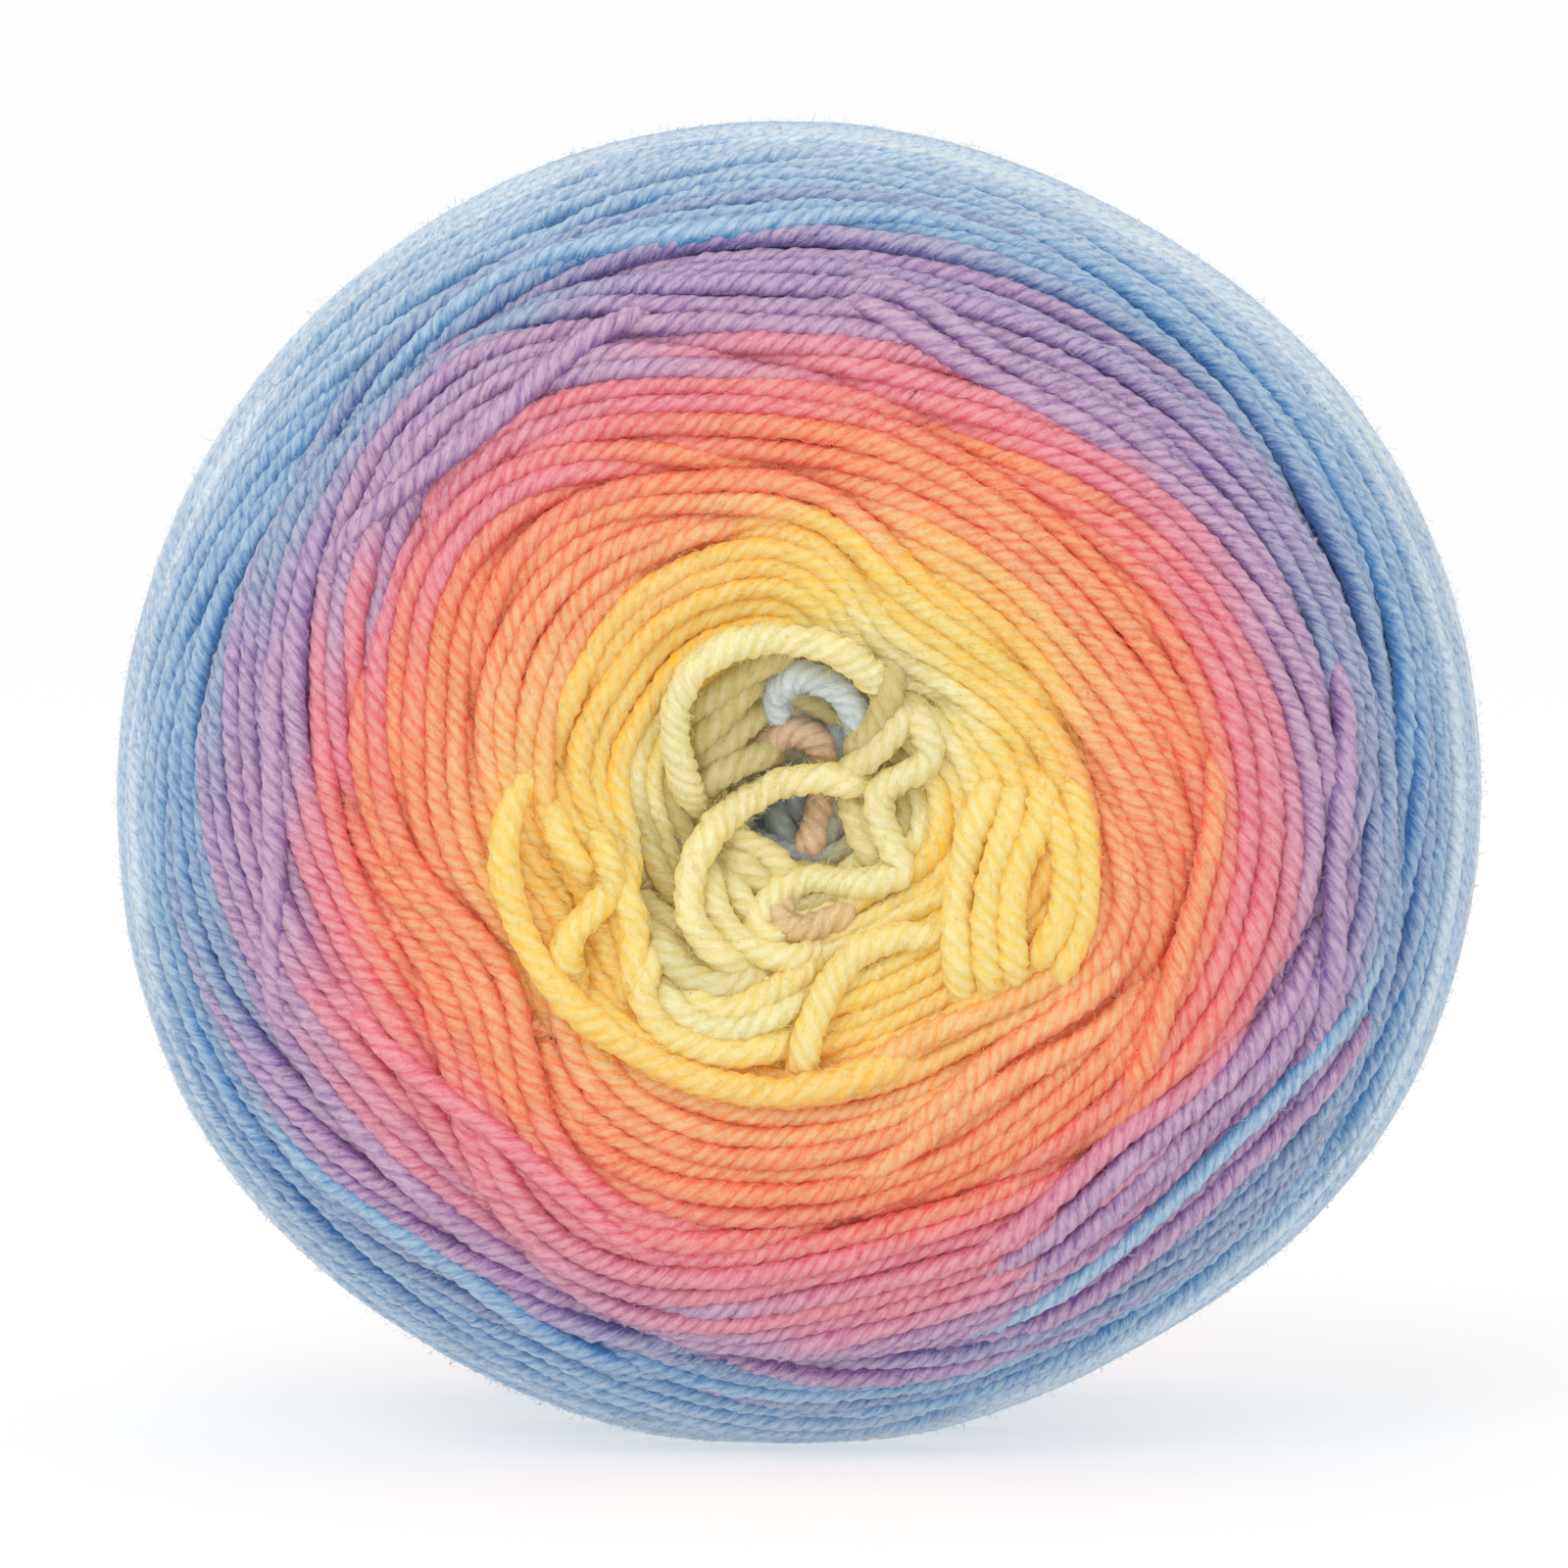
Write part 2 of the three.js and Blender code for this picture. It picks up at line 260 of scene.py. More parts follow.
def sweepYarn(skein, centre, outward, dye, wide, high, step, seed):
    # Lays four twisted plies along a centre line, as wide and as high as the two radii say.
    centre, outward, dye, wide, high = evenSteps(centre, step, outward, dye, wide, high)
    length = lengthAlong(centre)
    rings, columns = len(centre), skein["columns"]
    tangent = np.gradient(centre, axis=0)
    tangent /= np.linalg.norm(tangent, axis=1, keepdims=True)
    up = outward - (outward * tangent).sum(1, keepdims=True) * tangent
    up /= np.linalg.norm(up, axis=1, keepdims=True) + tiny
    side = np.cross(up, tangent)
    local = np.random.default_rng(seed)
    amount, short, long = yarn["swell"]
    swell = 1 + amount * np.sin(length / short + local.uniform(*anyPhase)) * np.sin(length / long + 1)
    length = length * local.uniform(*yarn["twistSpread"]) + local.uniform(*yarn["twistStart"])
    (slow, slowLength), (quick, quickLength) = yarn["twistDrifts"]
    length = length + slow * np.sin(length / slowLength) + quick * np.sin(length / quickLength)
    place = np.arange(columns) * fullTurn / columns
    if skein["carved"]:
        turn = place[None, :] - (fullTurn * length / yarn["twistPitch"])[:, None]
        lobe = 1 - yarn["plyGroove"] * (1 - np.abs(np.sin(yarn["plies"] / 2 * place)))
        ply = np.floor(place / fullTurn * yarn["plies"])
        amount, over, longer, later = yarn["plump"]
        plump = 1 + amount * np.sin(length[:, None] / (over + longer * ply) + later * ply)
        size = swell[:, None] * lobe[None, :] * plump * local.normal(1, yarn["fluff"], turn.shape)
    else:
        turn = np.broadcast_to(place, (rings, columns))
        size = np.broadcast_to(swell[:, None], turn.shape)
    across, above = np.cos(turn), np.sin(turn)
    radial = across[..., None] * side[:, None, :] + above[..., None] * up[:, None, :]
    sideways, upwards = size * wide[:, None] * across, size * high[:, None] * above
    points = centre[:, None, :] + sideways[..., None] * side[:, None, :] + upwards[..., None] * up[:, None, :]
    points[..., 2] = np.maximum(points[..., 2], 0)
    fibre = np.stack([across, above, np.broadcast_to(length[:, None], turn.shape)], -1)
    first = skein["count"]
    skein["quads"].append(ringQuads(first, rings, columns))
    skein["caps"].append(first + np.arange(columns)[::-1])
    skein["caps"].append(first + (rings - 1) * columns + np.arange(columns))
    # Painted shade: each strand's top takes the lit crest colour, its flanks and underside the painted shade
    # colour.
    skein["strands"].append({
        "points": points.reshape(-1, 3), "dye": np.repeat(dye, columns),
        "shade": smooth(*yarn["shading"], above).reshape(-1), "fibre": fibre.reshape(-1, 3),
        "along": np.repeat(tangent, columns, axis=0), "out": radial.reshape(-1, 3),
    })
    skein["count"] += rings * columns


def sweepRoute(skein, route, radius, step, seed):
    # Lays a slack turn along a smooth way over the face, and gives back its centre line.
    centre = throughPoints(onFace(route["points"]), step)
    outward = np.tile([0.0, -1.0, 0.0], (len(centre), 1))
    radii = np.full(len(centre), radius)
    sweepYarn(skein, centre, outward, np.linspace(*route["dye"], len(centre)), radii, radii, step, seed)
    return centre


def buildMesh(name, points, quads, caps, attributes):
    # One mesh from arrays of points in millimetres, four-sided faces and round caps.
    mesh = bpy.data.meshes.new(name)
    mesh.vertices.add(len(points))
    mesh.vertices.foreach_set("co", (points * mm).astype(np.float32).ravel())
    corners = np.concatenate([quads.ravel(), *[np.asarray(cap) for cap in caps]]).astype(np.int32)
    sizes = np.concatenate([np.full(len(quads), quads.shape[1]), [len(cap) for cap in caps]]).astype(np.int32)
    starts = np.concatenate([[0], np.cumsum(sizes)[:-1]]).astype(np.int32)
    mesh.loops.add(len(corners))
    mesh.loops.foreach_set("vertex_index", corners)
    mesh.polygons.add(len(sizes))
    mesh.polygons.foreach_set("loop_start", starts)
    mesh.update(calc_edges=True)
    mesh.validate()
    mesh.shade_smooth()
    for key, values in attributes.items():
        kind, field = ("FLOAT", "value") if values.ndim == 1 else ("FLOAT_VECTOR", "vector")
        data = mesh.attributes.new(key, kind, "POINT").data
        data.foreach_set(field, values.astype(np.float32).ravel())
    piece = bpy.data.objects.new(name, mesh)
    bpy.context.collection.objects.link(piece)
    return piece


def finishSkein(name, skein):
    strands = skein["strands"]
    joined = {key: np.concatenate([strand[key] for strand in strands]) for key in strands[0]}
    quads = np.concatenate(skein["quads"])
    attributes = {key: joined[key] for key in ("dye", "shade", "fibre")}
    piece = buildMesh(name, joined["points"], quads, skein["caps"], attributes)
    print(f"{name}: {2 * len(quads) + sum(len(cap) - 2 for cap in skein['caps'])} triangles")
    return piece, joined


# The slack inner end of the yarn, in four stretches. The points are the ones that the solids follow.
cordPlan = {
    "step": 0.45,
    "columns": 16,
    "diameter": 3.0,
    "seed": 5,
    "routes": {
        "upper_loop": {
            "node": "upper_loop_cord", "slot": "pale_yarn", "dye": (0.205, 0.195),
            "points": [
                (9.2, 9.6, -4.5), (8.6, 10.6, -1.0), (7.6, 11.7, 1.2), (6.2, 12.9, 2.4), (4.2, 14.2, 2.8),
                (-0.5, 15.2, 3.0), (-4.6, 14.7, 2.8), (-8.0, 12.9, 2.7), (-10.0, 9.8, 2.7), (-10.4, 5.9, 2.6),
                (-9.7, 2.3, 2.2), (-8.9, 0.2, 0.8), (-8.3, -1.2, -1.4), (-7.8, -2.2, -4.8),
            ],
        },
        "middle_loop": {
            "node": "middle_loop_cord", "slot": "pale_yarn", "dye": (0.20, 0.21),
            "points": [
                (7.8, 1.0, -4.5), (7.3, 1.4, -1.0), (6.3, 1.8, 2.8), (4.9, 2.0, 5.0), (3.0, 2.2, 5.8),
                (1.2, 2.1, 5.7), (-0.8, 1.7, 5.0), (-3.3, 0.4, 4.3), (-5.9, -1.3, 4.1), (-7.9, -3.9, 3.7),
                (-9.0, -6.8, 2.8), (-9.1, -9.5, 2.4), (-8.2, -11.9, 2.2), (-6.4, -13.8, 1.6),
                (-4.7, -14.9, -0.2), (-3.6, -15.4, -4.5),
            ],
        },
        "blue_loop": {
            "node": "blue_loop_cord", "slot": "blue_yarn", "dye": (0.975, 0.975),
            "points": [
                (-1.9, 8.9, -7.5), (-1.6, 9.4, -2.5), (-1.1, 10.1, 0.6), (-0.3, 11.0, 1.6), (0.9, 11.6, 1.8),
                (2.7, 11.4, 1.6), (4.5, 10.3, 1.5), (5.9, 8.7, 1.6), (6.5, 7.1, 1.3), (6.6, 6.1, 0.2),
                (6.5, 5.3, -2.5), (6.3, 4.8, -8.0),
            ],
        },
        "brown_loop": {
            "node": "brown_loop_cord", "slot": "brown_yarn", "dye": (1.0, 1.0),
            "points": [
                (-5.7, 2.9, -6.0), (-4.9, 3.7, -1.5), (-3.3, 4.7, 1.6), (-1.7, 5.7, 2.0), (0.1, 6.4, 2.1),
                (1.8, 6.1, 2.1), (2.9, 5.1, 1.9), (3.2, 3.4, 1.8), (3.0, 0.8, 1.8), (2.6, -1.8, 1.8),
                (1.9, -4.0, 1.4), (1.3, -5.2, -1.2), (1.0, -5.9, -6.0),
            ],
        },
    },
}


def makeCords():
    plan = cordPlan
    made = []
    for name, route in plan["routes"].items():
        skein = newSkein(plan["columns"])
        centre = sweepRoute(skein, route, plan["diameter"] / 2, plan["step"], plan["seed"] + len(made))
        piece, joined = finishSkein(name, skein)
        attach(piece, "root")
        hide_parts(route["node"])
        made.append((piece, joined))
    return made


cords = makeCords()
print("cords made")

# A bed remembers how high the laid strands stand, so that the next one rests on them. It is a grid over the
# roll, and is read and written along lines that go beside the middle of a strand.
bedPlan = {
    "cell": 0.5,
    "around": 760,
    "lines": 13,
    "lineReach": 0.95,  # the outermost line, as a share of the radius
    "touching": (-0.35, 0, 0.35),  # lines where a new strand touches what lies there
    "bridge": 5,  # samples that it bridges each way
    "give": 0.25,  # what is left of a strand's height over the most that it may stand
    "showing": (-0.8, 0, 0.8),  # lines where a strand may show, as shares of the radius
    "margin": 3,  # samples that a stretch goes on at each end, out of sight
    "shortest": 6,
}


def newBed(level):
    shape = (int(wholeRun / bedPlan["cell"]) + 2, bedPlan["around"])
    return {"rest": np.full(shape, level), "top": np.full(shape, level)}


def beside(strand):
    # Unit step square to a strand, as a change of run and a change of distance round the roll.
    radius = np.maximum(fromProfile("share", strand["run"]) * meanRadius, 2.0)
    alongRun, around = np.gradient(strand["run"]), np.gradient(strand["angle"]) * radius
    size = np.hypot(alongRun, around) + tiny
    return -around / size, alongRun / size, radius


def bedCells(bed, strand, aside, offset):
    offRun, offRound, radius = aside
    run, angle = strand["run"] + offset * offRun, strand["angle"] + offset * offRound / radius
    i = np.clip(np.round(run / bedPlan["cell"]).astype(int), 0, len(bed["rest"]) - 1)
    j = np.round(angle / fullTurn * bedPlan["around"]).astype(int) % bedPlan["around"]
    return i, j


def layOn(bed, strand):
    aside = beside(strand)
    for key, radius in (("rest", 2 * yarn["hardRadius"]), ("top", yarn["packedRadius"])):
        for offset in np.linspace(-bedPlan["lineReach"], bedPlan["lineReach"], bedPlan["lines"]) * radius:
            height = strand["lift"] + math.sqrt(radius ** 2 - offset ** 2)
            np.maximum.at(bed[key], bedCells(bed, strand, aside, offset), height)


def restOn(bed, strand, most):
    # The lift at which a strand lies on what is there, bridging small dips, pressed in where it is high.
    aside, bridge = beside(strand), bedPlan["bridge"]
    under = [bed["rest"][bedCells(bed, strand, aside, offset)] for offset in bedPlan["touching"]]
    needed = np.max(under, axis=0)
    highest = np.max([np.roll(needed, k) for k in range(-bridge, bridge + 1)], axis=0)
    kernel = np.hanning(2 * bridge + 3)[1:-1]
    padded = np.pad(highest, len(kernel) // 2, mode="edge")
    lift = np.convolve(padded, kernel / kernel.sum(), mode="valid")
    return np.where(lift > most, most + bedPlan["give"] * (lift - most), lift)


def shownRuns(bed, strand, keepDepth):
    # Stretches that aren't buried deeper than this.
    aside, radius = beside(strand), yarn["packedRadius"]
    seen = np.zeros(len(strand["run"]), bool)
    for offset in bedPlan["showing"]:
        cells = bedCells(bed, strand, aside, offset * radius)
        rise = radius * math.sqrt(1 - offset ** 2)
        seen |= strand["lift"] + rise > bed["top"][cells] - keepDepth
    for _ in range(bedPlan["margin"]):
        seen = seen | np.roll(seen, 1) | np.roll(seen, -1)
    edges = np.flatnonzero(np.diff(np.concatenate([[0], seen.astype(int), [0]])))
    return [(a, b) for a, b in zip(edges[::2], edges[1::2]) if b - a > bedPlan["shortest"]]


# Turns that show on a face lie in families. The strands of a family run side by side, come up one after
# another and dive one after another, and all the strands that are up share the room between them.
facePlan = {
    "strands": (2, 5),
    "span": (105, 175),  # degrees that a family runs round
    "nestSpan": 150,  # more than that near the eye, where the turns are small
    "spanLimits": (60, 300),
    "nestRows": 6,  # rows over which the nest's long turns give way to families
    "nestEnds": 0.15,  # a strand still goes alone while more than this share of the nest is left
    "stagger": (6, 13),  # degrees between the ends of two neighbours
    "forwards": 0.7,  # share of families that come up in the order of their rows
    "rise": 30,  # degrees that a strand takes to come up
    "trim": 1,  # degrees left off at each end
    "gridStep": 0.5,
    "evenOver": 9,  # degrees that the pull of the yarn evens its way over
    "mixing": 0.7,  # how far families swap places
    "rankStep": 0.08,
    "dive": 2.7,
    "waver": (0.2, 5, 9),  # how far a strand goes from side to side, and the lengths it does so over
    "bob": (0.22, 9, 18),  # the same for up and down
    "standSpread": 0.16,
    "sink": 0.9,  # the middles of the turns lie this far under the roll's surface, so their tops make it
    "ridge": 0.5,  # the middle of a family stands this much higher than its edges
    "raiseNest": (2.4, 9.0),  # loose turns fill the hollow by this much at the eye, out to this radius
    "fill": 0.62,  # a strand's radius, as a share of the room that it has
    "radii": (1.0, 1.6),
    "sampleStep": 0.6,
    "dyeSpread": 1.2,  # millimetres by which a strand's dye is ahead or behind
    "dyeWave": (0.6, 31, 9),  # how it comes and goes: share, samples, and how far tones start apart
}


def evenOut(values, degrees):
    # Smooths values that go once round, in steps of the grid.
    steps = np.fft.rfftfreq(values.shape[-1])
    blur = np.exp(-2 * (math.pi * steps * (degrees / facePlan["gridStep"])) ** 2)
    return np.fft.irfft(np.fft.rfft(values) * blur, values.shape[-1])


def drawFamilies(rows, local):
    # Where the strands start and end, family by family, until they fill so many rows.
    plan = facePlan
    shortest, longest = plan["spanLimits"]
    strands, covered, at, family = [], 0.0, local.uniform(0, 360), 0
    while covered < rows:
        near = math.exp(-covered / plan["nestRows"])
        span = min(longest, local.uniform(*plan["span"]) + plan["nestSpan"] * near)
        few, many = plan["strands"]
        count = int(local.integers(few, many + 1)) if near < plan["nestEnds"] else 1
        stagger = local.uniform(*plan["stagger"])
        rank = family + local.normal(0, plan["mixing"])
        forwards = local.random() < plan["forwards"]
        for k in range(count):
            order = k if forwards else count - 1 - k
            start = at + order * stagger
            end = max(start + shortest, at + span - (count - 1 - order) * stagger)
            level = 1 - (2 * k / max(1, count - 1) - 1) ** 2 if count > 2 else 0.5
            strands.append({
                "start": start, "end": end, "rank": rank + plan["rankStep"] * k,
                "stand": plan["ridge"] * (level - 0.5) + local.normal(0, plan["standSpread"]),
                "tone": local.normal(0, 1), "seed": int(local.integers(1 << 30)),
            })
            covered += (end - start - plan["rise"]) / 360
        at += span - 0.5 * count * stagger
        family += 1
    return sorted(strands, key=lambda strand: strand["rank"])


def windFace(fromRun, toRun, seed):
    plan = facePlan
    local = np.random.default_rng(seed)
    strands = drawFamilies((toRun - fromRun) / yarn["rowPitch"], local)
    grid = np.arange(0, 360, plan["gridStep"])
    ups = []
    for strand in strands:
        middle, half = (strand["start"] + strand["end"]) / 2, (strand["end"] - strand["start"]) / 2
        away = np.abs(np.mod(grid - middle + 180, 360) - 180)
        ups.append(0.5 + 0.5 * np.cos(math.pi * np.clip((away - half + plan["rise"]) / plan["rise"], 0, 1)))
    ups = np.array(ups)
    total = evenOut(ups.sum(0), plan["evenOver"])
    before = evenOut(np.cumsum(ups, axis=0) - ups / 2, plan["evenOver"])
    pitch = (toRun - fromRun) / total
    print(f"{len(strands)} face strands, rows {pitch.min():.2f} to {pitch.max():.2f} mm apart")
    (waver, *waverLengths), (bob, *bobLengths) = plan["waver"], plan["bob"]
    for k, strand in enumerate(strands):
        runs = fromRun + (toRun - fromRun) * before[k] / total
        radius = max(4, fromProfile("share", runs.mean()) * meanRadius)
        count = max(12, int(math.radians(strand["end"] - strand["start"]) * radius / plan["sampleStep"]))
        degrees = np.linspace(strand["start"] + plan["trim"], strand["end"] - plan["trim"], count)
        up = np.interp(degrees, grid, ups[k], period=360)
        run = np.interp(degrees, grid, runs, period=360)
        length = np.arange(count) * plan["sampleStep"]
        wave = waver * np.sin(length / local.uniform(*waverLengths) + local.uniform(*anyPhase))
        bobbing = bob * np.sin(length / local.uniform(*bobLengths) + local.uniform(*anyPhase))
        distance = fromProfile("share", run) * meanRadius
        raised = plan["raiseNest"][0] * np.exp(-((distance / plan["raiseNest"][1]) ** 2))
        strand["run"] = run + wave * up
        strand["angle"] = np.radians(degrees)
        strand["lift"] = raised - plan["sink"] - plan["dive"] * (1 - up) + (strand["stand"] + bobbing) * up
        strand["wide"] = np.clip(plan["fill"] * np.interp(degrees, grid, pitch, period=360), *plan["radii"])
    return strands


def addStrand(skein, strand, step, runs):
    run, angle, lift = strand["run"], strand["angle"], strand["lift"]
    wide = strand.get("wide", np.full(len(run), yarn["packedRadius"]))
    high = np.full(len(run), yarn["pressed"] * yarn["packedRadius"])
    dye = strand.get("dye")
    if dye is None:
        share, samples, apart = facePlan["dyeWave"]
        drift = strand["tone"] + share * np.sin(np.arange(len(run)) / samples + strand["tone"] * apart)
        dye = dyeAt(fromProfile("share", run) * meanRadius + facePlan["dyeSpread"] * drift, angle)
    for k, (a, b) in enumerate(runs):
        points, outward = onRoll(run[a:b], angle[a:b], lift[a:b])
        sweepYarn(skein, points, outward, dye[a:b], wide[a:b], high[a:b], step, strand["seed"] + k)


# The front: face turns from the hollow to the shoulder, then turns that cross over them.
# Crossing turns go through three places each: degrees and distance from the eye, in millimetres.
frontPlan = {
    "fromRun": 4.5,
    "toRadius": 62.6,
    "split": 42,  # inner and outer windings are two pieces
    "step": 0.8,
    "columns": 8,
    "seed": 21,
    "lowerSeed": 121,
    "crossingSeed": 900,
    "bedLevel": -3.4,
    "crossings": [
        {"places": [(-20, 47.4), (-46, 43.4), (-78, 47.2)], "dye": 0.63},
        {"places": [(-14, 49.6), (-44, 45.6), (-78, 49.4)], "dye": 0.67},
        {"places": [(-10, 52.4), (-42, 47.8), (-78, 51.6)], "dye": 0.70},
        {"places": [(-6, 58.8), (-42, 53.4), (-80, 56.6)], "dye": 0.70},
        {"places": [(0, 58.2), (-40, 51.0), (-84, 55.0)], "dye": 0.85, "wide": 1.0},
        {"places": [(94, 51.6), (62, 45.8), (30, 47.6)], "dye": 0.70},
        {"places": [(96, 49.4), (64, 43.8), (34, 45.4)], "dye": 0.67},
        {"places": [(24, 52.4), (-4, 50.0), (-34, 53.8)], "dye": 0.71},
        {"places": [(-112, 27.4), (-62, 24.8), (-10, 31.6)], "dye": 0.37},
        {"places": [(-92, 36.4), (-56, 32.4), (-22, 36.6)], "dye": 0.41},
        {"places": [(-84, 33.4), (-50, 30.2), (-14, 34.6)], "dye": 0.40},
        {"places": [(-56, 42.6), (-18, 38.0), (20, 39.4)], "dye": 0.475},
        {"places": [(164, 49.4), (130, 44.4), (96, 49.0)], "dye": 0.68},
        {"places": [(218, 52.6), (182, 47.0), (148, 50.6)], "dye": 0.67},
        {"places": [(-94, 45.6), (-130, 40.4), (-168, 45.2)], "dye": 0.58},
        {"places": [(134, 57.4), (98, 53.4), (60, 57.8)], "dye": 0.84},
        {"places": [(-94, 57.8), (-128, 53.4), (-162, 57.8)], "dye": 0.83},
    ],
    "layer": 1.5,  # one layer of turns lies this far over the next
    "belowStep": 1.6,
    "belowColumns": 6,
    "keepDepth": {"inner": 1.1, "outer": 0.7, "crossing": 2.4, "below": 0.05},  # deeper turns aren't made
    "crossLift": -0.3,  # the most that a crossing turn stands out
    "crossDive": 0.3,  # share of a crossing turn that goes under at each end
    "crossSamples": 160,
}


def runAtRadius(radius):
    front = profile["run"] < wholeRun / 2
    return np.interp(radius / meanRadius, profile["share"][front], profile["run"][front])


def crossingTurn(crossing, seed):
    places = np.array(crossing["places"], float)
    t = np.linspace(0, 1, frontPlan["crossSamples"])
    angle = np.radians(np.interp(t, [0, 0.5, 1], places[:, 0]))
    first, middle, last = places[:, 1]
    distance = first + (middle - first) * smooth(0, 0.5, t) + (last - middle) * smooth(0.5, 1, t)
    wide = np.full(len(t), crossing.get("wide", yarn["packedRadius"]))
    return {"run": runAtRadius(distance), "angle": angle, "dye": np.full(len(t), crossing["dye"]),
            "wide": wide, "seed": seed}


def makeFront():
    plan = frontPlan
    bed = newBed(plan["bedLevel"])
    toRun = runAtRadius(plan["toRadius"])
    lower = windFace(plan["fromRun"], toRun, plan["lowerSeed"])  # the layer below, which shows in the gaps
    strands = windFace(plan["fromRun"], toRun, plan["seed"])
    for strand in lower:
        strand["lift"] = strand["lift"] - plan["layer"]
    for strand in [*lower, *strands]:
        layOn(bed, strand)
    for k, crossing in enumerate(plan["crossings"]):
        strand = crossingTurn(crossing, plan["crossingSeed"] + k)
        lift = restOn(bed, strand, plan["crossLift"])
        ends = np.minimum(np.linspace(0, 1, len(lift)), np.linspace(1, 0, len(lift)))
        up = smooth(0, plan["crossDive"], ends)
        strand["lift"] = lift * up + plan["bedLevel"] * (1 - up)
        layOn(bed, strand)
        strands.append(strand)
    skeins = {"inner": newSkein(plan["columns"]), "outer": newSkein(plan["columns"]),
              "below": newSkein(plan["belowColumns"])}
    for strand in strands:
        near = fromProfile("share", strand["run"]).mean() * meanRadius < plan["split"]
        part = "inner" if near else "outer"
        keepDepth = plan["keepDepth"]["crossing" if "dye" in strand else part]
        addStrand(skeins[part], strand, plan["step"], shownRuns(bed, strand, keepDepth))
    for strand in lower:
        shown = shownRuns(bed, strand, plan["keepDepth"]["below"])
        addStrand(skeins["below"], strand, plan["belowStep"], shown)
    return [finishSkein(f"front_windings_{part}", skein) for part, skein in skeins.items()]


front = makeFront()

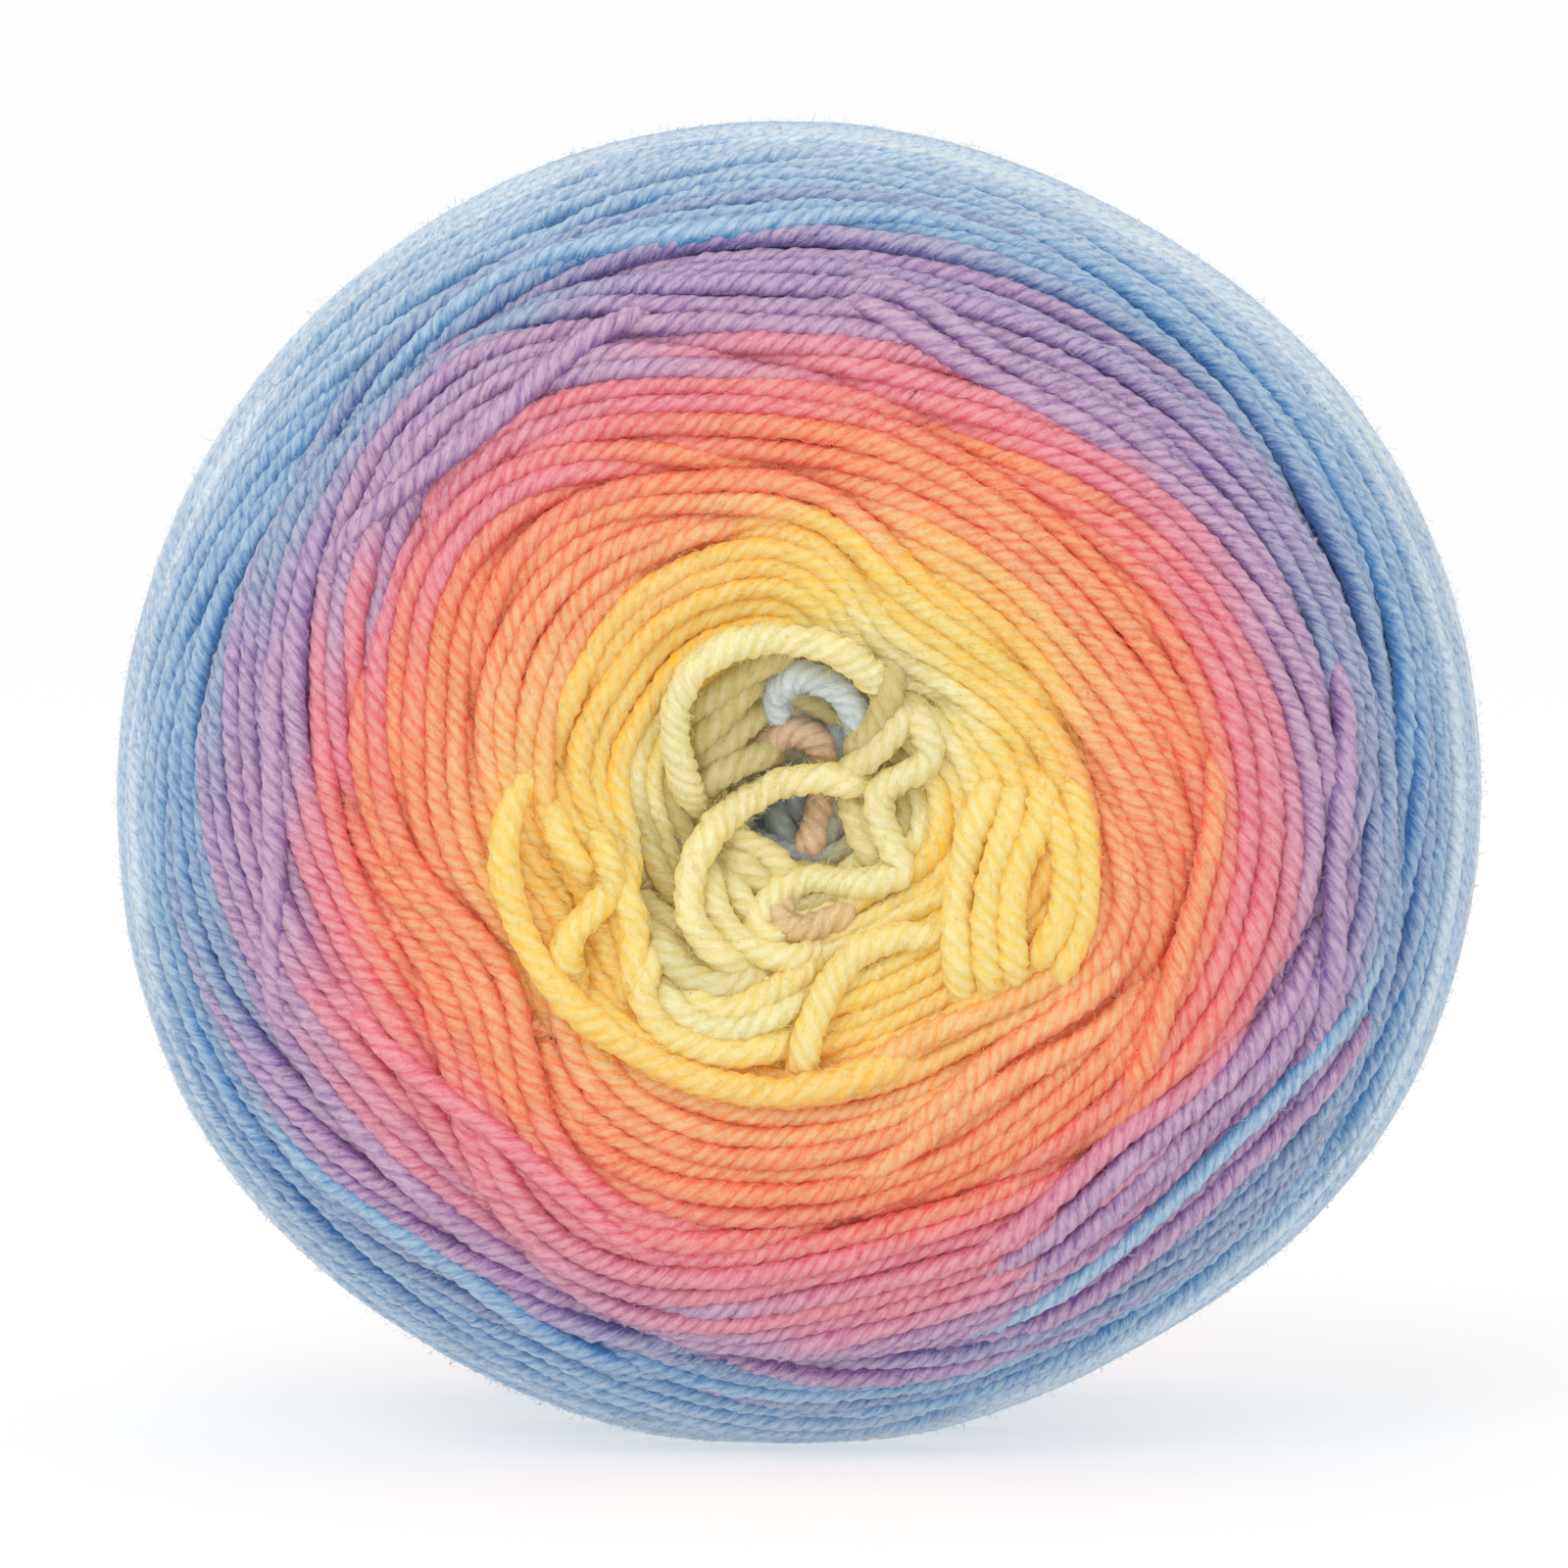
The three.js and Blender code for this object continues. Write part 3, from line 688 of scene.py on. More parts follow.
# Slack turns that lie in the nest. The first ten are on the solid too, and the rest fill in between them.
# Columns of a point: right of the eye, up from the eye, out of the face. Both ends of a turn go under others.
slackPlan = {
    "step": 0.6,
    "columns": 12,
    "seed": 60,
    "onSolid": 10,
    "fillRadius": 0.93,  # the others are this much thinner
    "endSink": 1.4,
    "endLift": -2.0,
    "routes": {
        "leftLoop": {"dye": (0.255, 0.34), "points": [
            (-22.6, 4.2, -1.8), (-24.2, 2.4, -1.5), (-25.5, -0.8, 0.3), (-26.0, -4.6, 1.3),
            (-25.3, -9.2, 1.4), (-23.2, -13.9, 1.4), (-20.0, -18.0, 1.3), (-15.9, -21.3, 1.2),
            (-11.1, -23.9, 1.1), (-6.2, -25.6, 1.0), (-1.5, -26.3, 0.9), (3.4, -25.6, 0.7),
            (8.2, -24.2, 0.3), (12.8, -22.8, -1.2)]},
        "kinkedTurn": {"dye": (0.19, 0.205), "points": [
            (11.2, 9.6, -1.6), (12.4, 7.0, 0.9), (13.0, 4.8, 1.4), (12.1, 3.3, 1.7), (10.1, 2.3, 2.2),
            (8.6, 1.0, 2.8), (8.3, -0.6, 2.8), (8.8, -2.6, 2.4), (9.7, -4.6, 2.0), (10.4, -6.0, 1.6),
            (9.3, -6.9, 1.3), (6.6, -7.5, 1.4), (3.9, -7.3, 1.5), (1.7, -7.2, 1.5), (0.3, -7.7, 1.4),
            (-1.4, -8.8, 1.2), (-2.6, -10.2, 1.0), (-2.8, -11.5, 0.8), (-1.6, -12.6, 0.2),
            (0.2, -13.2, -1.6)]},
        "smallHook": {"dye": (0.99, 0.99), "points": [
            (5.8, -9.0, -1.4), (4.7, -10.4, 0.5), (2.6, -11.3, 0.8), (0.9, -11.7, 0.8), (-0.6, -11.2, 0.8),
            (-0.7, -10.0, 0.6), (0.8, -9.3, -1.4)]},
        "lowerStrand": {"dye": (0.225, 0.235), "points": [
            (15.4, -11.8, -1.4), (12.6, -12.0, 0.8), (9.6, -12.3, 1.2), (6.6, -13.5, 1.3),
            (4.4, -15.7, 1.4), (3.0, -18.2, 1.4), (2.0, -20.8, 1.2), (1.4, -23.2, 0.2),
            (1.1, -24.8, -1.8)]},
        "rightInner": {"dye": (0.235, 0.235), "points": [
            (19.6, 3.2, -1.2), (17.5, -0.9, 0.7), (16.1, -5.1, 0.9), (15.4, -9.6, 0.9), (15.6, -14.3, 0.9),
            (16.1, -18.7, -1.0)]},
        "rightMiddle": {"dye": (0.24, 0.245), "points": [
            (21.4, 2.8, -1.2), (20.1, -2.0, 0.8), (18.6, -6.7, 1.0), (18.0, -11.2, 1.0),
            (18.2, -14.7, 0.9), (18.8, -18.2, -1.0)]},
        "rightOuter": {"dye": (0.25, 0.245), "points": [
            (23.9, 3.4, -1.2), (22.8, -1.6, 0.8), (21.2, -5.5, 1.0), (20.5, -9.5, 1.0), (20.5, -13.7, 0.9),
            (20.9, -17.8, -1.0)]},
        "rightCurl": {"dye": (0.255, 0.265), "points": [
            (22.4, 2.4, -1.6), (24.2, -0.8, 0.0), (25.4, -4.8, 0.7), (25.2, -9.4, 0.9), (23.6, -13.0, 0.4),
            (22.0, -15.8, -1.6)]},
        "leftSquiggle": {"dye": (0.245, 0.245), "points": [
            (-18.0, -2.5, -1.0), (-16.8, -4.7, 0.7), (-16.3, -7.3, 0.8), (-18.0, -9.8, 0.8),
            (-19.9, -12.0, 0.8), (-20.4, -14.1, 0.6), (-19.5, -16.2, -1.0)]},
        "bottomCurl": {"dye": (0.23, 0.24), "points": [
            (-11.4, -13.1, -1.0), (-12.9, -15.0, 0.7), (-13.3, -17.5, 0.8), (-11.8, -20.3, 0.8),
            (-9.0, -22.0, 0.8), (-5.6, -22.8, 0.7), (-2.2, -22.3, 0.4), (1.2, -20.8, -1.0)]},
        "outerCurl": {"dye": (0.265, 0.28), "points": [
            (24.6, 4.0, -1.6), (26.4, 0.0, -0.3), (27.3, -5.0, 0.3), (26.9, -10.6, 0.4),
            (25.4, -14.6, 0.0), (23.4, -17.4, -1.6)]},
        "leftWave": {"dye": (0.245, 0.25), "points": [
            (-22.0, -0.2, -1.0), (-20.9, -3.0, 0.5), (-19.4, -5.2, 0.6), (-18.6, -7.6, -1.0)]},
        "leftFall": {"dye": (0.24, 0.245), "points": [
            (-14.6, -5.0, -1.0), (-15.0, -8.0, 0.4), (-14.1, -11.7, 0.6), (-14.2, -15.4, 0.5),
            (-15.5, -18.6, -1.0)]},
        "leftInner": {"dye": (0.25, 0.28), "points": [
            (-18.4, -17.6, -1.0), (-15.8, -20.2, 0.3), (-12.8, -22.2, 0.4), (-9.2, -24.6, 0.2),
            (-4.6, -25.8, -1.0)]},
        "oliveLow": {"dye": (0.17, 0.185), "points": [
            (-12.0, -11.8, -1.0), (-11.2, -13.6, 0.8), (-9.6, -15.5, 1.0), (-6.3, -16.7, 1.0),
            (-3.7, -16.2, 0.2), (-1.6, -15.2, -1.0)]},
        "paleLow": {"dye": (0.19, 0.20), "points": [
            (-12.2, -15.8, -1.0), (-10.8, -17.9, 0.5), (-8.4, -19.9, 0.8), (-4.6, -20.6, 0.8),
            (-0.6, -19.0, 0.6), (2.8, -16.1, -1.0)]},
        "paleLower": {"dye": (0.22, 0.23), "points": [
            (-10.4, -16.4, -1.0), (-8.6, -17.9, 0.6), (-5.9, -18.8, 0.8), (-2.6, -17.8, 0.8),
            (0.9, -15.9, 0.5), (3.4, -13.6, -1.0)]},
        "loopInside": {"dye": (0.20, 0.21), "points": [
            (-6.9, -4.6, -0.6), (-7.3, -7.6, 1.0), (-6.2, -10.8, 1.4), (-3.4, -13.3, 1.4),
            (0.4, -14.2, 1.0), (3.6, -13.2, -0.6)]},
        "loopInner": {"dye": (0.19, 0.20), "points": [
            (-5.6, -4.4, -0.6), (-5.1, -7.4, 0.8), (-4.0, -9.6, 0.8), (-2.6, -11.8, -0.6)]},
        "leanOne": {"dye": (0.13, 0.15), "points": [
            (-9.6, 4.4, 0.6), (-7.6, 6.4, 1.8), (-5.6, 8.6, 2.0), (-3.8, 10.6, 1.4), (-2.0, 12.6, 0.0)]},
        "leanTwo": {"dye": (0.12, 0.13), "points": [
            (-9.0, 2.4, 1.0), (-7.0, 4.6, 2.0), (-5.0, 6.4, 2.2), (-3.2, 8.0, 1.2), (-1.8, 9.2, -0.6)]},
        "leanThree": {"dye": (0.15, 0.16), "points": [
            (-10.0, 7.0, 0.2), (-7.4, 9.5, 1.4), (-4.2, 11.7, 1.6), (-1.4, 13.2, 1.2), (1.4, 14.6, -0.4)]},
        "leanLow": {"dye": (0.13, 0.12), "points": [
            (-8.6, 0.6, 1.2), (-6.6, 2.4, 3.0), (-4.6, 3.6, 3.8), (-2.4, 4.4, 3.4), (-0.8, 4.8, 1.4)]},
        "rightLean": {"dye": (0.18, 0.19), "points": [
            (3.6, 1.4, 1.2), (5.7, 3.0, 3.4), (8.1, 4.9, 3.0), (10.2, 7.2, 1.6), (11.0, 9.9, -0.6)]},
        "rightLeanTwo": {"dye": (0.14, 0.16), "points": [
            (5.0, 4.2, 1.6), (6.9, 6.0, 2.6), (8.5, 8.3, 1.8), (9.3, 10.9, 0.8), (8.9, 13.6, -0.8)]},
        "rightFall": {"dye": (0.19, 0.18), "points": [
            (5.8, 1.0, 0.4), (5.9, -0.8, 2.2), (6.4, -2.6, 2.2), (7.4, -4.4, 1.6), (8.4, -6.4, -0.4)]},
        "rightFallTwo": {"dye": (0.17, 0.17), "points": [
            (7.0, 1.0, 0.8), (7.2, -1.0, 2.0), (7.9, -2.9, 2.0), (9.0, -5.4, 0.2)]},
        "leftPale": {"dye": (0.2, 0.19), "points": [
            (-6.2, -1.8, 0.8), (-4.6, -3.4, 2.4), (-2.6, -4.6, 2.2), (-0.6, -6.2, 1.6),
            (1.0, -8.4, -0.4)]},
        "leftPaleTwo": {"dye": (0.19, 0.18), "points": [
            (-6.4, -4.2, 0.8), (-4.9, -5.6, 1.6), (-3.0, -7.0, 1.6), (-1.4, -8.6, -0.4)]},
        "greyOne": {"dye": (0.02, 0.03), "points": [
            (-5.0, 1.6, -0.8), (-2.4, 2.4, 0.4), (0.0, 1.8, 0.4), (0.6, -0.4, 0.2), (0.2, -3.2, -1.0)]},
        "greyTwo": {"dye": (0.03, 0.02), "points": [
            (-2.6, 0.2, -0.6), (-1.2, -1.4, 0.6), (-0.2, -3.6, 0.4), (2.6, -6.0, -0.2),
            (4.4, -7.4, -1.4)]},
        "blueArm": {"dye": (0.972, 0.972), "points": [
            (0.9, 11.0, -0.4), (-0.5, 10.9, 1.2), (-1.3, 9.8, 1.4), (-1.1, 8.3, 1.2), (-0.2, 7.0, 0.2)]},
        "greyFour": {"dye": (0.03, 0.02), "points": [
            (1.2, 9.6, -0.6), (1.4, 7.4, 0.0), (0.6, 4.6, 0.0), (-0.6, 2.0, -0.2), (-3.0, -1.4, -1.2)]},
        "greyFive": {"dye": (0.02, 0.03), "points": [
            (3.4, 1.6, -1.2), (4.0, -1.2, -0.4), (3.8, -4.0, -0.4), (2.8, -6.8, -1.4)]},
        "greyThree": {"dye": (0.02, 0.02), "points": [
            (3.6, 8.4, -0.8), (4.6, 6.6, 0.2), (4.9, 4.2, 0.4), (5.0, 1.0, 0.2), (5.2, -1.6, -0.8)]},
    },
}


def makeSlackTurns():
    plan = slackPlan
    skein = newSkein(plan["columns"])
    for k, route in enumerate(plan["routes"].values()):
        rows = np.array(route["points"])
        rows[[0, -1], 2] = np.minimum(rows[[0, -1], 2] - plan["endSink"], plan["endLift"])
        radius = yarn["looseRadius"] * (1 if k < plan["onSolid"] else plan["fillRadius"])
        sweepRoute(skein, {"points": rows, "dye": route["dye"]}, radius, plan["step"], plan["seed"] + k)
    return finishSkein("slack_turns", skein)


slack = makeSlackTurns()

# The side: the yarn goes to and fro between the shoulders while the roll turns, and crosses itself.
sidePlan = {
    "turns": 62,
    "swings": 0.40323,  # to-and-fro swings for each turn: two in five turns, and a creep that fills the side
    "bend": 0.96,  # how sharply it turns back at the end of a swing
    "drifts": [(0.5, 7.7), (0.3, 3.1)],  # how far the swings grow and shrink, and over what turning
    "edgeRadius": 61.5,
    "bedLevel": -4.6,
    "most": -1.4,
    "keepDepth": 0.4,
    "sampleStep": 0.8,
    "piecesEachTurn": 1.3,
    "overlap": 8,  # samples that a piece shares with the next
    "step": 2.6,
    "columns": 8,
    "seed": 5,
    "pieceSeed": 3000,
    "seedStep": 7,
    "dye": (0.86, 0.95),
    "dyeSpread": 0.016,
}


def makeSide():
    plan = sidePlan
    local = np.random.default_rng(plan["seed"])
    bed = newBed(plan["bedLevel"])
    middle = wholeRun / 2
    swing = middle - runAtRadius(plan["edgeRadius"])
    samples = int(plan["turns"] * fullTurn * meanRadius / plan["sampleStep"])
    angle = np.linspace(0, plan["turns"] * fullTurn, samples)
    (far, slow), (near, quick) = plan["drifts"]
    drift = far * np.sin(angle / slow) + near * np.sin(angle / quick + 1)
    bent = np.arcsin(plan["bend"] * np.sin(angle * plan["swings"]))
    run = middle + (swing + drift) * bent / math.asin(plan["bend"])
    firstDye, lastDye = plan["dye"]
    strands = []
    for k, rows in enumerate(np.array_split(np.arange(samples), int(plan["turns"] * plan["piecesEachTurn"]))):
        rows = np.arange(rows[0], min(rows[-1] + plan["overlap"], samples))
        strand = {"run": run[rows], "angle": angle[rows], "seed": plan["pieceSeed"] + plan["seedStep"] * k}
        strand["lift"] = restOn(bed, strand, plan["most"])
        share = rows / samples
        strand["dye"] = firstDye + (lastDye - firstDye) * share + local.normal(0, plan["dyeSpread"])
        layOn(bed, strand)
        strands.append(strand)
    skein = newSkein(plan["columns"], carved=False)
    for strand in strands:
        addStrand(skein, strand, plan["step"], shownRuns(bed, strand, plan["keepDepth"]))
    return finishSkein("side_windings", skein)


# The back face is wound like the front, with a plain hollow.
backPlan = {"fromRun": 3.5, "toRadius": 62.6, "step": 2.4, "columns": 8, "seed": 77}


def makeBack():
    plan = backPlan
    skein = newSkein(plan["columns"], carved=False)
    for strand in windFace(plan["fromRun"], runAtRadius(plan["toRadius"]), plan["seed"]):
        strand["run"] = wholeRun - strand["run"]
        addStrand(skein, strand, plan["step"], [(0, len(strand["run"]))])
    return finishSkein("back_windings", skein)


# What shows between the turns: the winding underneath, a plain skin a little way in.
corePlan = {
    "faceLift": -2.3,
    "sideLift": -3.8,
    "turnsOver": (0.3, 0.8),  # between these slopes the face goes over into the side
    "endRun": 1.0,  # the skin stops this far from both eyes
    "runStep": 1.8,
    "around": 150,
    "floor": 0.2,
    # painted shade: the skin takes half of the painted shade colour all over
    "shade": 0.5,
    "streaks": (3, 200),  # how the streaks lie over it: turns for each millimetre, length for each turn
}


def makeCore():
    plan = corePlan
    runs = np.arange(plan["endRun"], wholeRun - plan["endRun"], plan["runStep"])
    angles = np.linspace(0, fullTurn, plan["around"], endpoint=False)
    run, angle = [places.ravel() for places in np.meshgrid(runs, angles, indexing="ij")]
    onSide = smooth(*plan["turnsOver"], fromProfile("nr", run))
    lift = plan["faceLift"] + (plan["sideLift"] - plan["faceLift"]) * onSide
    points, _ = onRoll(run, angle, lift)
    points[:, 2] = np.maximum(points[:, 2], plan["floor"])
    count = plan["around"]
    quads = ringQuads(0, len(runs), count)[:, [0, 3, 2, 1]]  # facing out
    caps = [np.arange(count), (len(runs) - 1) * count + np.arange(count)[::-1]]
    turns, length = plan["streaks"]
    attributes = {
        "dye": dyeAt(fromProfile("share", run) * meanRadius, angle),
        "shade": np.full(len(run), plan["shade"]),
        "fibre": np.stack([np.cos(run * turns), np.sin(run * turns), angle * length], -1),
    }
    return buildMesh("winding_core", points, quads, caps, attributes)


side = makeSide()
back = makeBack()
core = makeCore()
print("windings made")

# Loose fibres, as thin kites that bend at a knee. Most lie along the yarn and blur its plies, and some
# stand out.
fuzzPlan = {
    "halfWidth": 0.03,  # about three times as coarse as a real fibre, so that it shows
    "kinds": {  # name, seed, lengths in millimetres, how far they lean out of the yarn
        "lying": ("fibres", 0, (0.6, 1.7), (0.05, 0.4)),
        "standing": ("halo", 50, (0.6, 1.7), (0.5, 1.6)),
    },
    "rooting": (1.25, 0.02),  # most grow from a strand's flanks, fewer from its crest, and few from below
    "scatter": (0.4, 0.6),  # how far the two halves stray
    "droop": (0, 1.2),
    "tone": (0.35, 1.0),  # how much of the crest colour a fibre takes
    "counts": {"front": (62000, 6000), "slack": (13000, 5000), "side": (17000, 7000), "back": (8000, 1500)},
}


def unit(vectors):
    return vectors / (np.linalg.norm(vectors, axis=-1, keepdims=True) + tiny)


def makeFibres(name, sources, count, lengths, lean, seed):
    plan = fuzzPlan
    local = np.random.default_rng(seed)
    joined = {key: np.concatenate([source[key] for source in sources]) for key in sources[0]}
    top, least = plan["rooting"]
    weight = joined["shade"] * (top - joined["shade"]) + least
    pick = local.choice(len(weight), count, p=weight / weight.sum())
    root, dye = joined["points"][pick], joined["dye"][pick]
    out = unit(joined["out"][pick])
    along = unit(joined["along"][pick]) * local.choice([-1, 1], count)[:, None]
    half = local.uniform(*lengths, count)[:, None] * 0.5
    leaning = local.uniform(*lean, count)[:, None]
    first = unit(along + out * leaning + local.normal(0, plan["scatter"][0], (count, 3)))
    stray = first + local.normal(0, plan["scatter"][1], (count, 3))
    second = unit(stray - out * local.uniform(*plan["droop"], count)[:, None] * lean[1])
    knee = root + first * half
    side = unit(np.cross(first, out) + lean[0] * local.normal(0, 1, (count, 3))) * plan["halfWidth"]
    points = np.stack([root, knee + side, knee - side, knee + second * half], 1)
    points[..., 2] = np.maximum(points[..., 2], 0)
    faces = np.array([(0, 1, 2), (2, 1, 3)])
    corners = points.shape[1]
    triangles = (np.arange(count)[:, None, None] * corners + faces[None]).reshape(-1, 3)
    tone = local.uniform(*plan["tone"], count)
    attributes = {"dye": np.repeat(dye, corners), "shade": np.repeat(tone, corners)}
    piece = buildMesh(name, points.reshape(-1, 3), triangles, [], attributes)
    print(f"{name}: {len(triangles)} triangles")
    return piece


def makeFuzz():
    plan = fuzzPlan
    loose = [slack[1], *[joined for _, joined in cords]]
    places = {"front_inner": [front[0][1]], "front_outer": [front[1][1]], "slack": loose,
              "side": [side[1]], "back": [back[1]]}
    made = []
    for seed, (place, sources) in enumerate(places.items()):
        counts = plan["counts"][place.split("_")[0]]
        for count, (kind, later, lengths, lean) in zip(counts, plan["kinds"].values()):
            made.append(makeFibres(f"{place}_{kind}", sources, count, lengths, lean, seed + later))
    return made


fuzz = makeFuzz()
print("fuzz made")


def linear(hexColour):
    # sRGB hex to the linear values that the shaders take.
    parts = [int(hexColour[k:k + 2], 16) / 255 for k in (0, 2, 4)]
    return [p / 12.92 if p <= 0.04045 else ((p + 0.055) / 1.055) ** 2.4 for p in parts] + [1.0]

def fillStops(stops, rows):
    while len(stops) < len(rows):
        stops.new(0.5)
    for stop, (place, colour) in zip(stops, sorted(rows)):
        stop.position = place
        stop.color = linear(colour)


def addNode(tree, kind, settings=None, links=None):
    # A link comes from a socket, or from a node's first output.
    node = tree.nodes.new(kind)
    for key, value in (settings or {}).items():
        if key == "stops":
            fillStops(node.color_ramp.elements, value)
        elif isinstance(key, int) or key in node.inputs:
            node.inputs[key].default_value = value
        else:
            setattr(node, key, value)
    for key, source in (links or {}).items():
        socket = source.outputs[0] if isinstance(source, bpy.types.Node) else source
        tree.links.new(socket, node.inputs[key])
    return node


# Acrylic yarn, spun, plied and dyed in long stretches. The eye sees matt, milky crests with a soft edge
# light from the fibres, and clear deep colour between the turns, where light has met the dye many times.
# That light and shade is painted: strand tops take a pale lit crest colour, flanks, undersides and ply
# grooves a deeper painted shade colour, and the crevices give off a painted glow.
acrylicYarn = {
    "paintedLitCrests": [  # place on the dye scale, lit colour on the strands' tops
        (0.0, "a2acae"), (0.045, "a2acae"), (0.075, "cec492"), (0.16, "d4c690"), (0.20, "f6eebc"),
        (0.25, "f4de90"), (0.34, "f4d488"), (0.385, "f6c892"), (0.42, "f4bc8a"), (0.50, "f4aa80"),
        (0.545, "f0a294"), (0.58, "ee9ea6"), (0.625, "e8a2b0"), (0.655, "d0aec2"), (0.725, "c4aac8"),
        (0.755, "acb8d0"), (0.80, "9ebad4"), (0.835, "b0cade"), (0.88, "c0d2e2"), (0.95, "dee8ee"),
        (0.965, "dce4e2"), (0.979, "dce4e2"), (0.985, "e8ce9e"), (0.993, "e8ce9e"), (1.0, "e4c6a6"),
    ],
    # painted shade: the deeper, more saturated colour that the same dyes take on flanks, undersides and in
    # grooves
    "paintedShadedDepths": [
        (0.0, "7e8d8e"), (0.045, "7e8d8e"), (0.075, "ae9c60"), (0.16, "c0aa58"), (0.20, "e4d07a"),
        (0.25, "f0c236"), (0.34, "f0b232"), (0.385, "ee8638"), (0.42, "ea6a34"), (0.50, "e2542e"),
        (0.545, "da4848"), (0.58, "d04c60"), (0.625, "b84c6c"), (0.655, "8a5490"), (0.725, "684a8c"),
        (0.755, "3c5c92"), (0.80, "326ca6"), (0.835, "427cb0"), (0.88, "5c8cb8"), (0.95, "8caec8"),
        (0.965, "acbabe"), (0.979, "acbabe"), (0.985, "c49c66"), (0.993, "c49c66"), (1.0, "b48c6a"),
    ],
    "fibreAcross": 2.6,  # streaks near 0.2 mm wide: real fibres are 0.02 mm and would not show
    "fibreAlong": 1.2,  # streaks for each millimetre along the yarn
    "streak": 1.9,  # how much the streaks move the colour between depth and crest
    "plyGrooveShade": 0.48,  # painted shade in the grooves between plies: how much of the crest colour a groove takes away
    "surface": {"Roughness": 0.92, "IOR": 1.5, "Sheen Weight": 0.3, "Sheen Roughness": 0.5,
                "Specular IOR Level": 0.2},
    "paintedCreviceGlow": 0.17,  # painted glow: the crevices give off their painted shade colour, in place of light that comes through the fibres, so they glow instead of going black
    "bump": 0.75,
    "bumpDepth": 0.3,
    "plyHeight": 0.4,  # how high the plies stand, where the streaks stand 1
}
def newMaterial(name):
    material = bpy.data.materials.new(name)
    material.use_nodes = True
    material.node_tree.nodes.clear()
    return material, material.node_tree


def litAndShadedDye(tree, paintedLitShare):
    # The painted shade colour of this stretch of dye, for the depths, and its mix with the lit colour on the
    # crests.
    dye = addNode(tree, "ShaderNodeAttribute", {"attribute_name": "dye"}).outputs["Fac"]
    shadedDepth = addNode(tree, "ShaderNodeValToRGB", {"stops": acrylicYarn["paintedShadedDepths"]}, {"Fac": dye})
    litCrest = addNode(tree, "ShaderNodeValToRGB", {"stops": acrylicYarn["paintedLitCrests"]}, {"Fac": dye})
    mixed = addNode(tree, "ShaderNodeMix", {"data_type": "RGBA"}, {0: paintedLitShare, 6: shadedDepth, 7: litCrest})
    return shadedDepth, mixed.outputs[2]


def acrylicYarnMaterial(name):
    look = acrylicYarn
    material, tree = newMaterial(name)
    maths, attribute = "ShaderNodeMath", "ShaderNodeAttribute"
    shade = addNode(tree, attribute, {"attribute_name": "shade"}).outputs["Fac"]
    fibre = addNode(tree, attribute, {"attribute_name": "fibre"}).outputs["Vector"]
    parts = addNode(tree, "ShaderNodeSeparateXYZ", links={0: fibre}).outputs
    roundTurn = addNode(tree, maths, {"operation": "ARCTAN2"}, {0: parts["Y"], 1: parts["X"]})
    advance = addNode(tree, maths, {"operation": "MULTIPLY_ADD", 1: fullTurn / yarn["twistPitch"]},
                      {0: parts["Z"], 2: roundTurn})
    phase = addNode(tree, maths, {"operation": "MULTIPLY", 1: yarn["plies"] / 2}, {0: advance})
    wave = addNode(tree, maths, {"operation": "SINE"}, {0: phase})
    plyCrest = addNode(tree, maths, {"operation": "ABSOLUTE"}, {0: wave})
    across = addNode(tree, maths, {"operation": "COSINE"}, {0: advance})
    over = addNode(tree, maths, {"operation": "SINE"}, {0: advance})
    twisted = addNode(tree, "ShaderNodeCombineXYZ", links={"X": across, "Y": over, "Z": parts["Z"]})
    scale = (look["fibreAcross"], look["fibreAcross"], look["fibreAlong"])
    stretched = addNode(tree, "ShaderNodeVectorMath", {"operation": "MULTIPLY", 1: scale}, {0: twisted})
    streaks = addNode(tree, "ShaderNodeTexNoise", {"Scale": 1.0, "Detail": 2.0, "Roughness": 0.65},
                      {"Vector": stretched})
    plyGrooveShade = addNode(tree, maths, {"operation": "MULTIPLY_ADD", 1: look["plyGrooveShade"],
                                     2: 1 - look["plyGrooveShade"]}, {0: plyCrest})
    lit = addNode(tree, maths, {"operation": "MULTIPLY"}, {0: shade, 1: plyGrooveShade})
    centred = addNode(tree, maths, {"operation": "MULTIPLY_ADD", 1: look["streak"], 2: -0.5 * look["streak"]},
                      {0: streaks})
    paintedLitShare = addNode(tree, maths, {"operation": "ADD", "use_clamp": True}, {0: lit, 1: centred})
    shadedDepth, colour = litAndShadedDye(tree, paintedLitShare)
    # Painted glow: the painted shade colour, given off as light where little crest colour shows.
    paintedGlowColour = addNode(tree, "ShaderNodeMix", {"data_type": "RGBA", 7: (0, 0, 0, 1)}, {0: paintedLitShare, 6: shadedDepth})
    height = addNode(tree, maths, {"operation": "MULTIPLY_ADD", 1: look["plyHeight"]},
                     {0: plyCrest, 2: streaks})
    bump = addNode(tree, "ShaderNodeBump", {"Strength": look["bump"], "Distance": look["bumpDepth"] * mm},
                   {"Height": height})
    shader = addNode(tree, "ShaderNodeBsdfPrincipled", {**look["surface"], "Emission Strength": look["paintedCreviceGlow"]},
                     {"Base Color": colour, "Normal": bump, "Emission Color": paintedGlowColour.outputs[2]})
    addNode(tree, "ShaderNodeOutputMaterial", links={"Surface": shader})
    return material


def acrylicFibreMaterial(name):
    # Single fibres, each of one even colour, with no plies and no bump of their own.
    material, tree = newMaterial(name)
    tone = addNode(tree, "ShaderNodeAttribute", {"attribute_name": "shade"}).outputs["Fac"]
    _, colour = litAndShadedDye(tree, tone)
    shader = addNode(tree, "ShaderNodeBsdfPrincipled", acrylicYarn["surface"], {"Base Color": colour})
    addNode(tree, "ShaderNodeOutputMaterial", links={"Surface": shader})
    return material


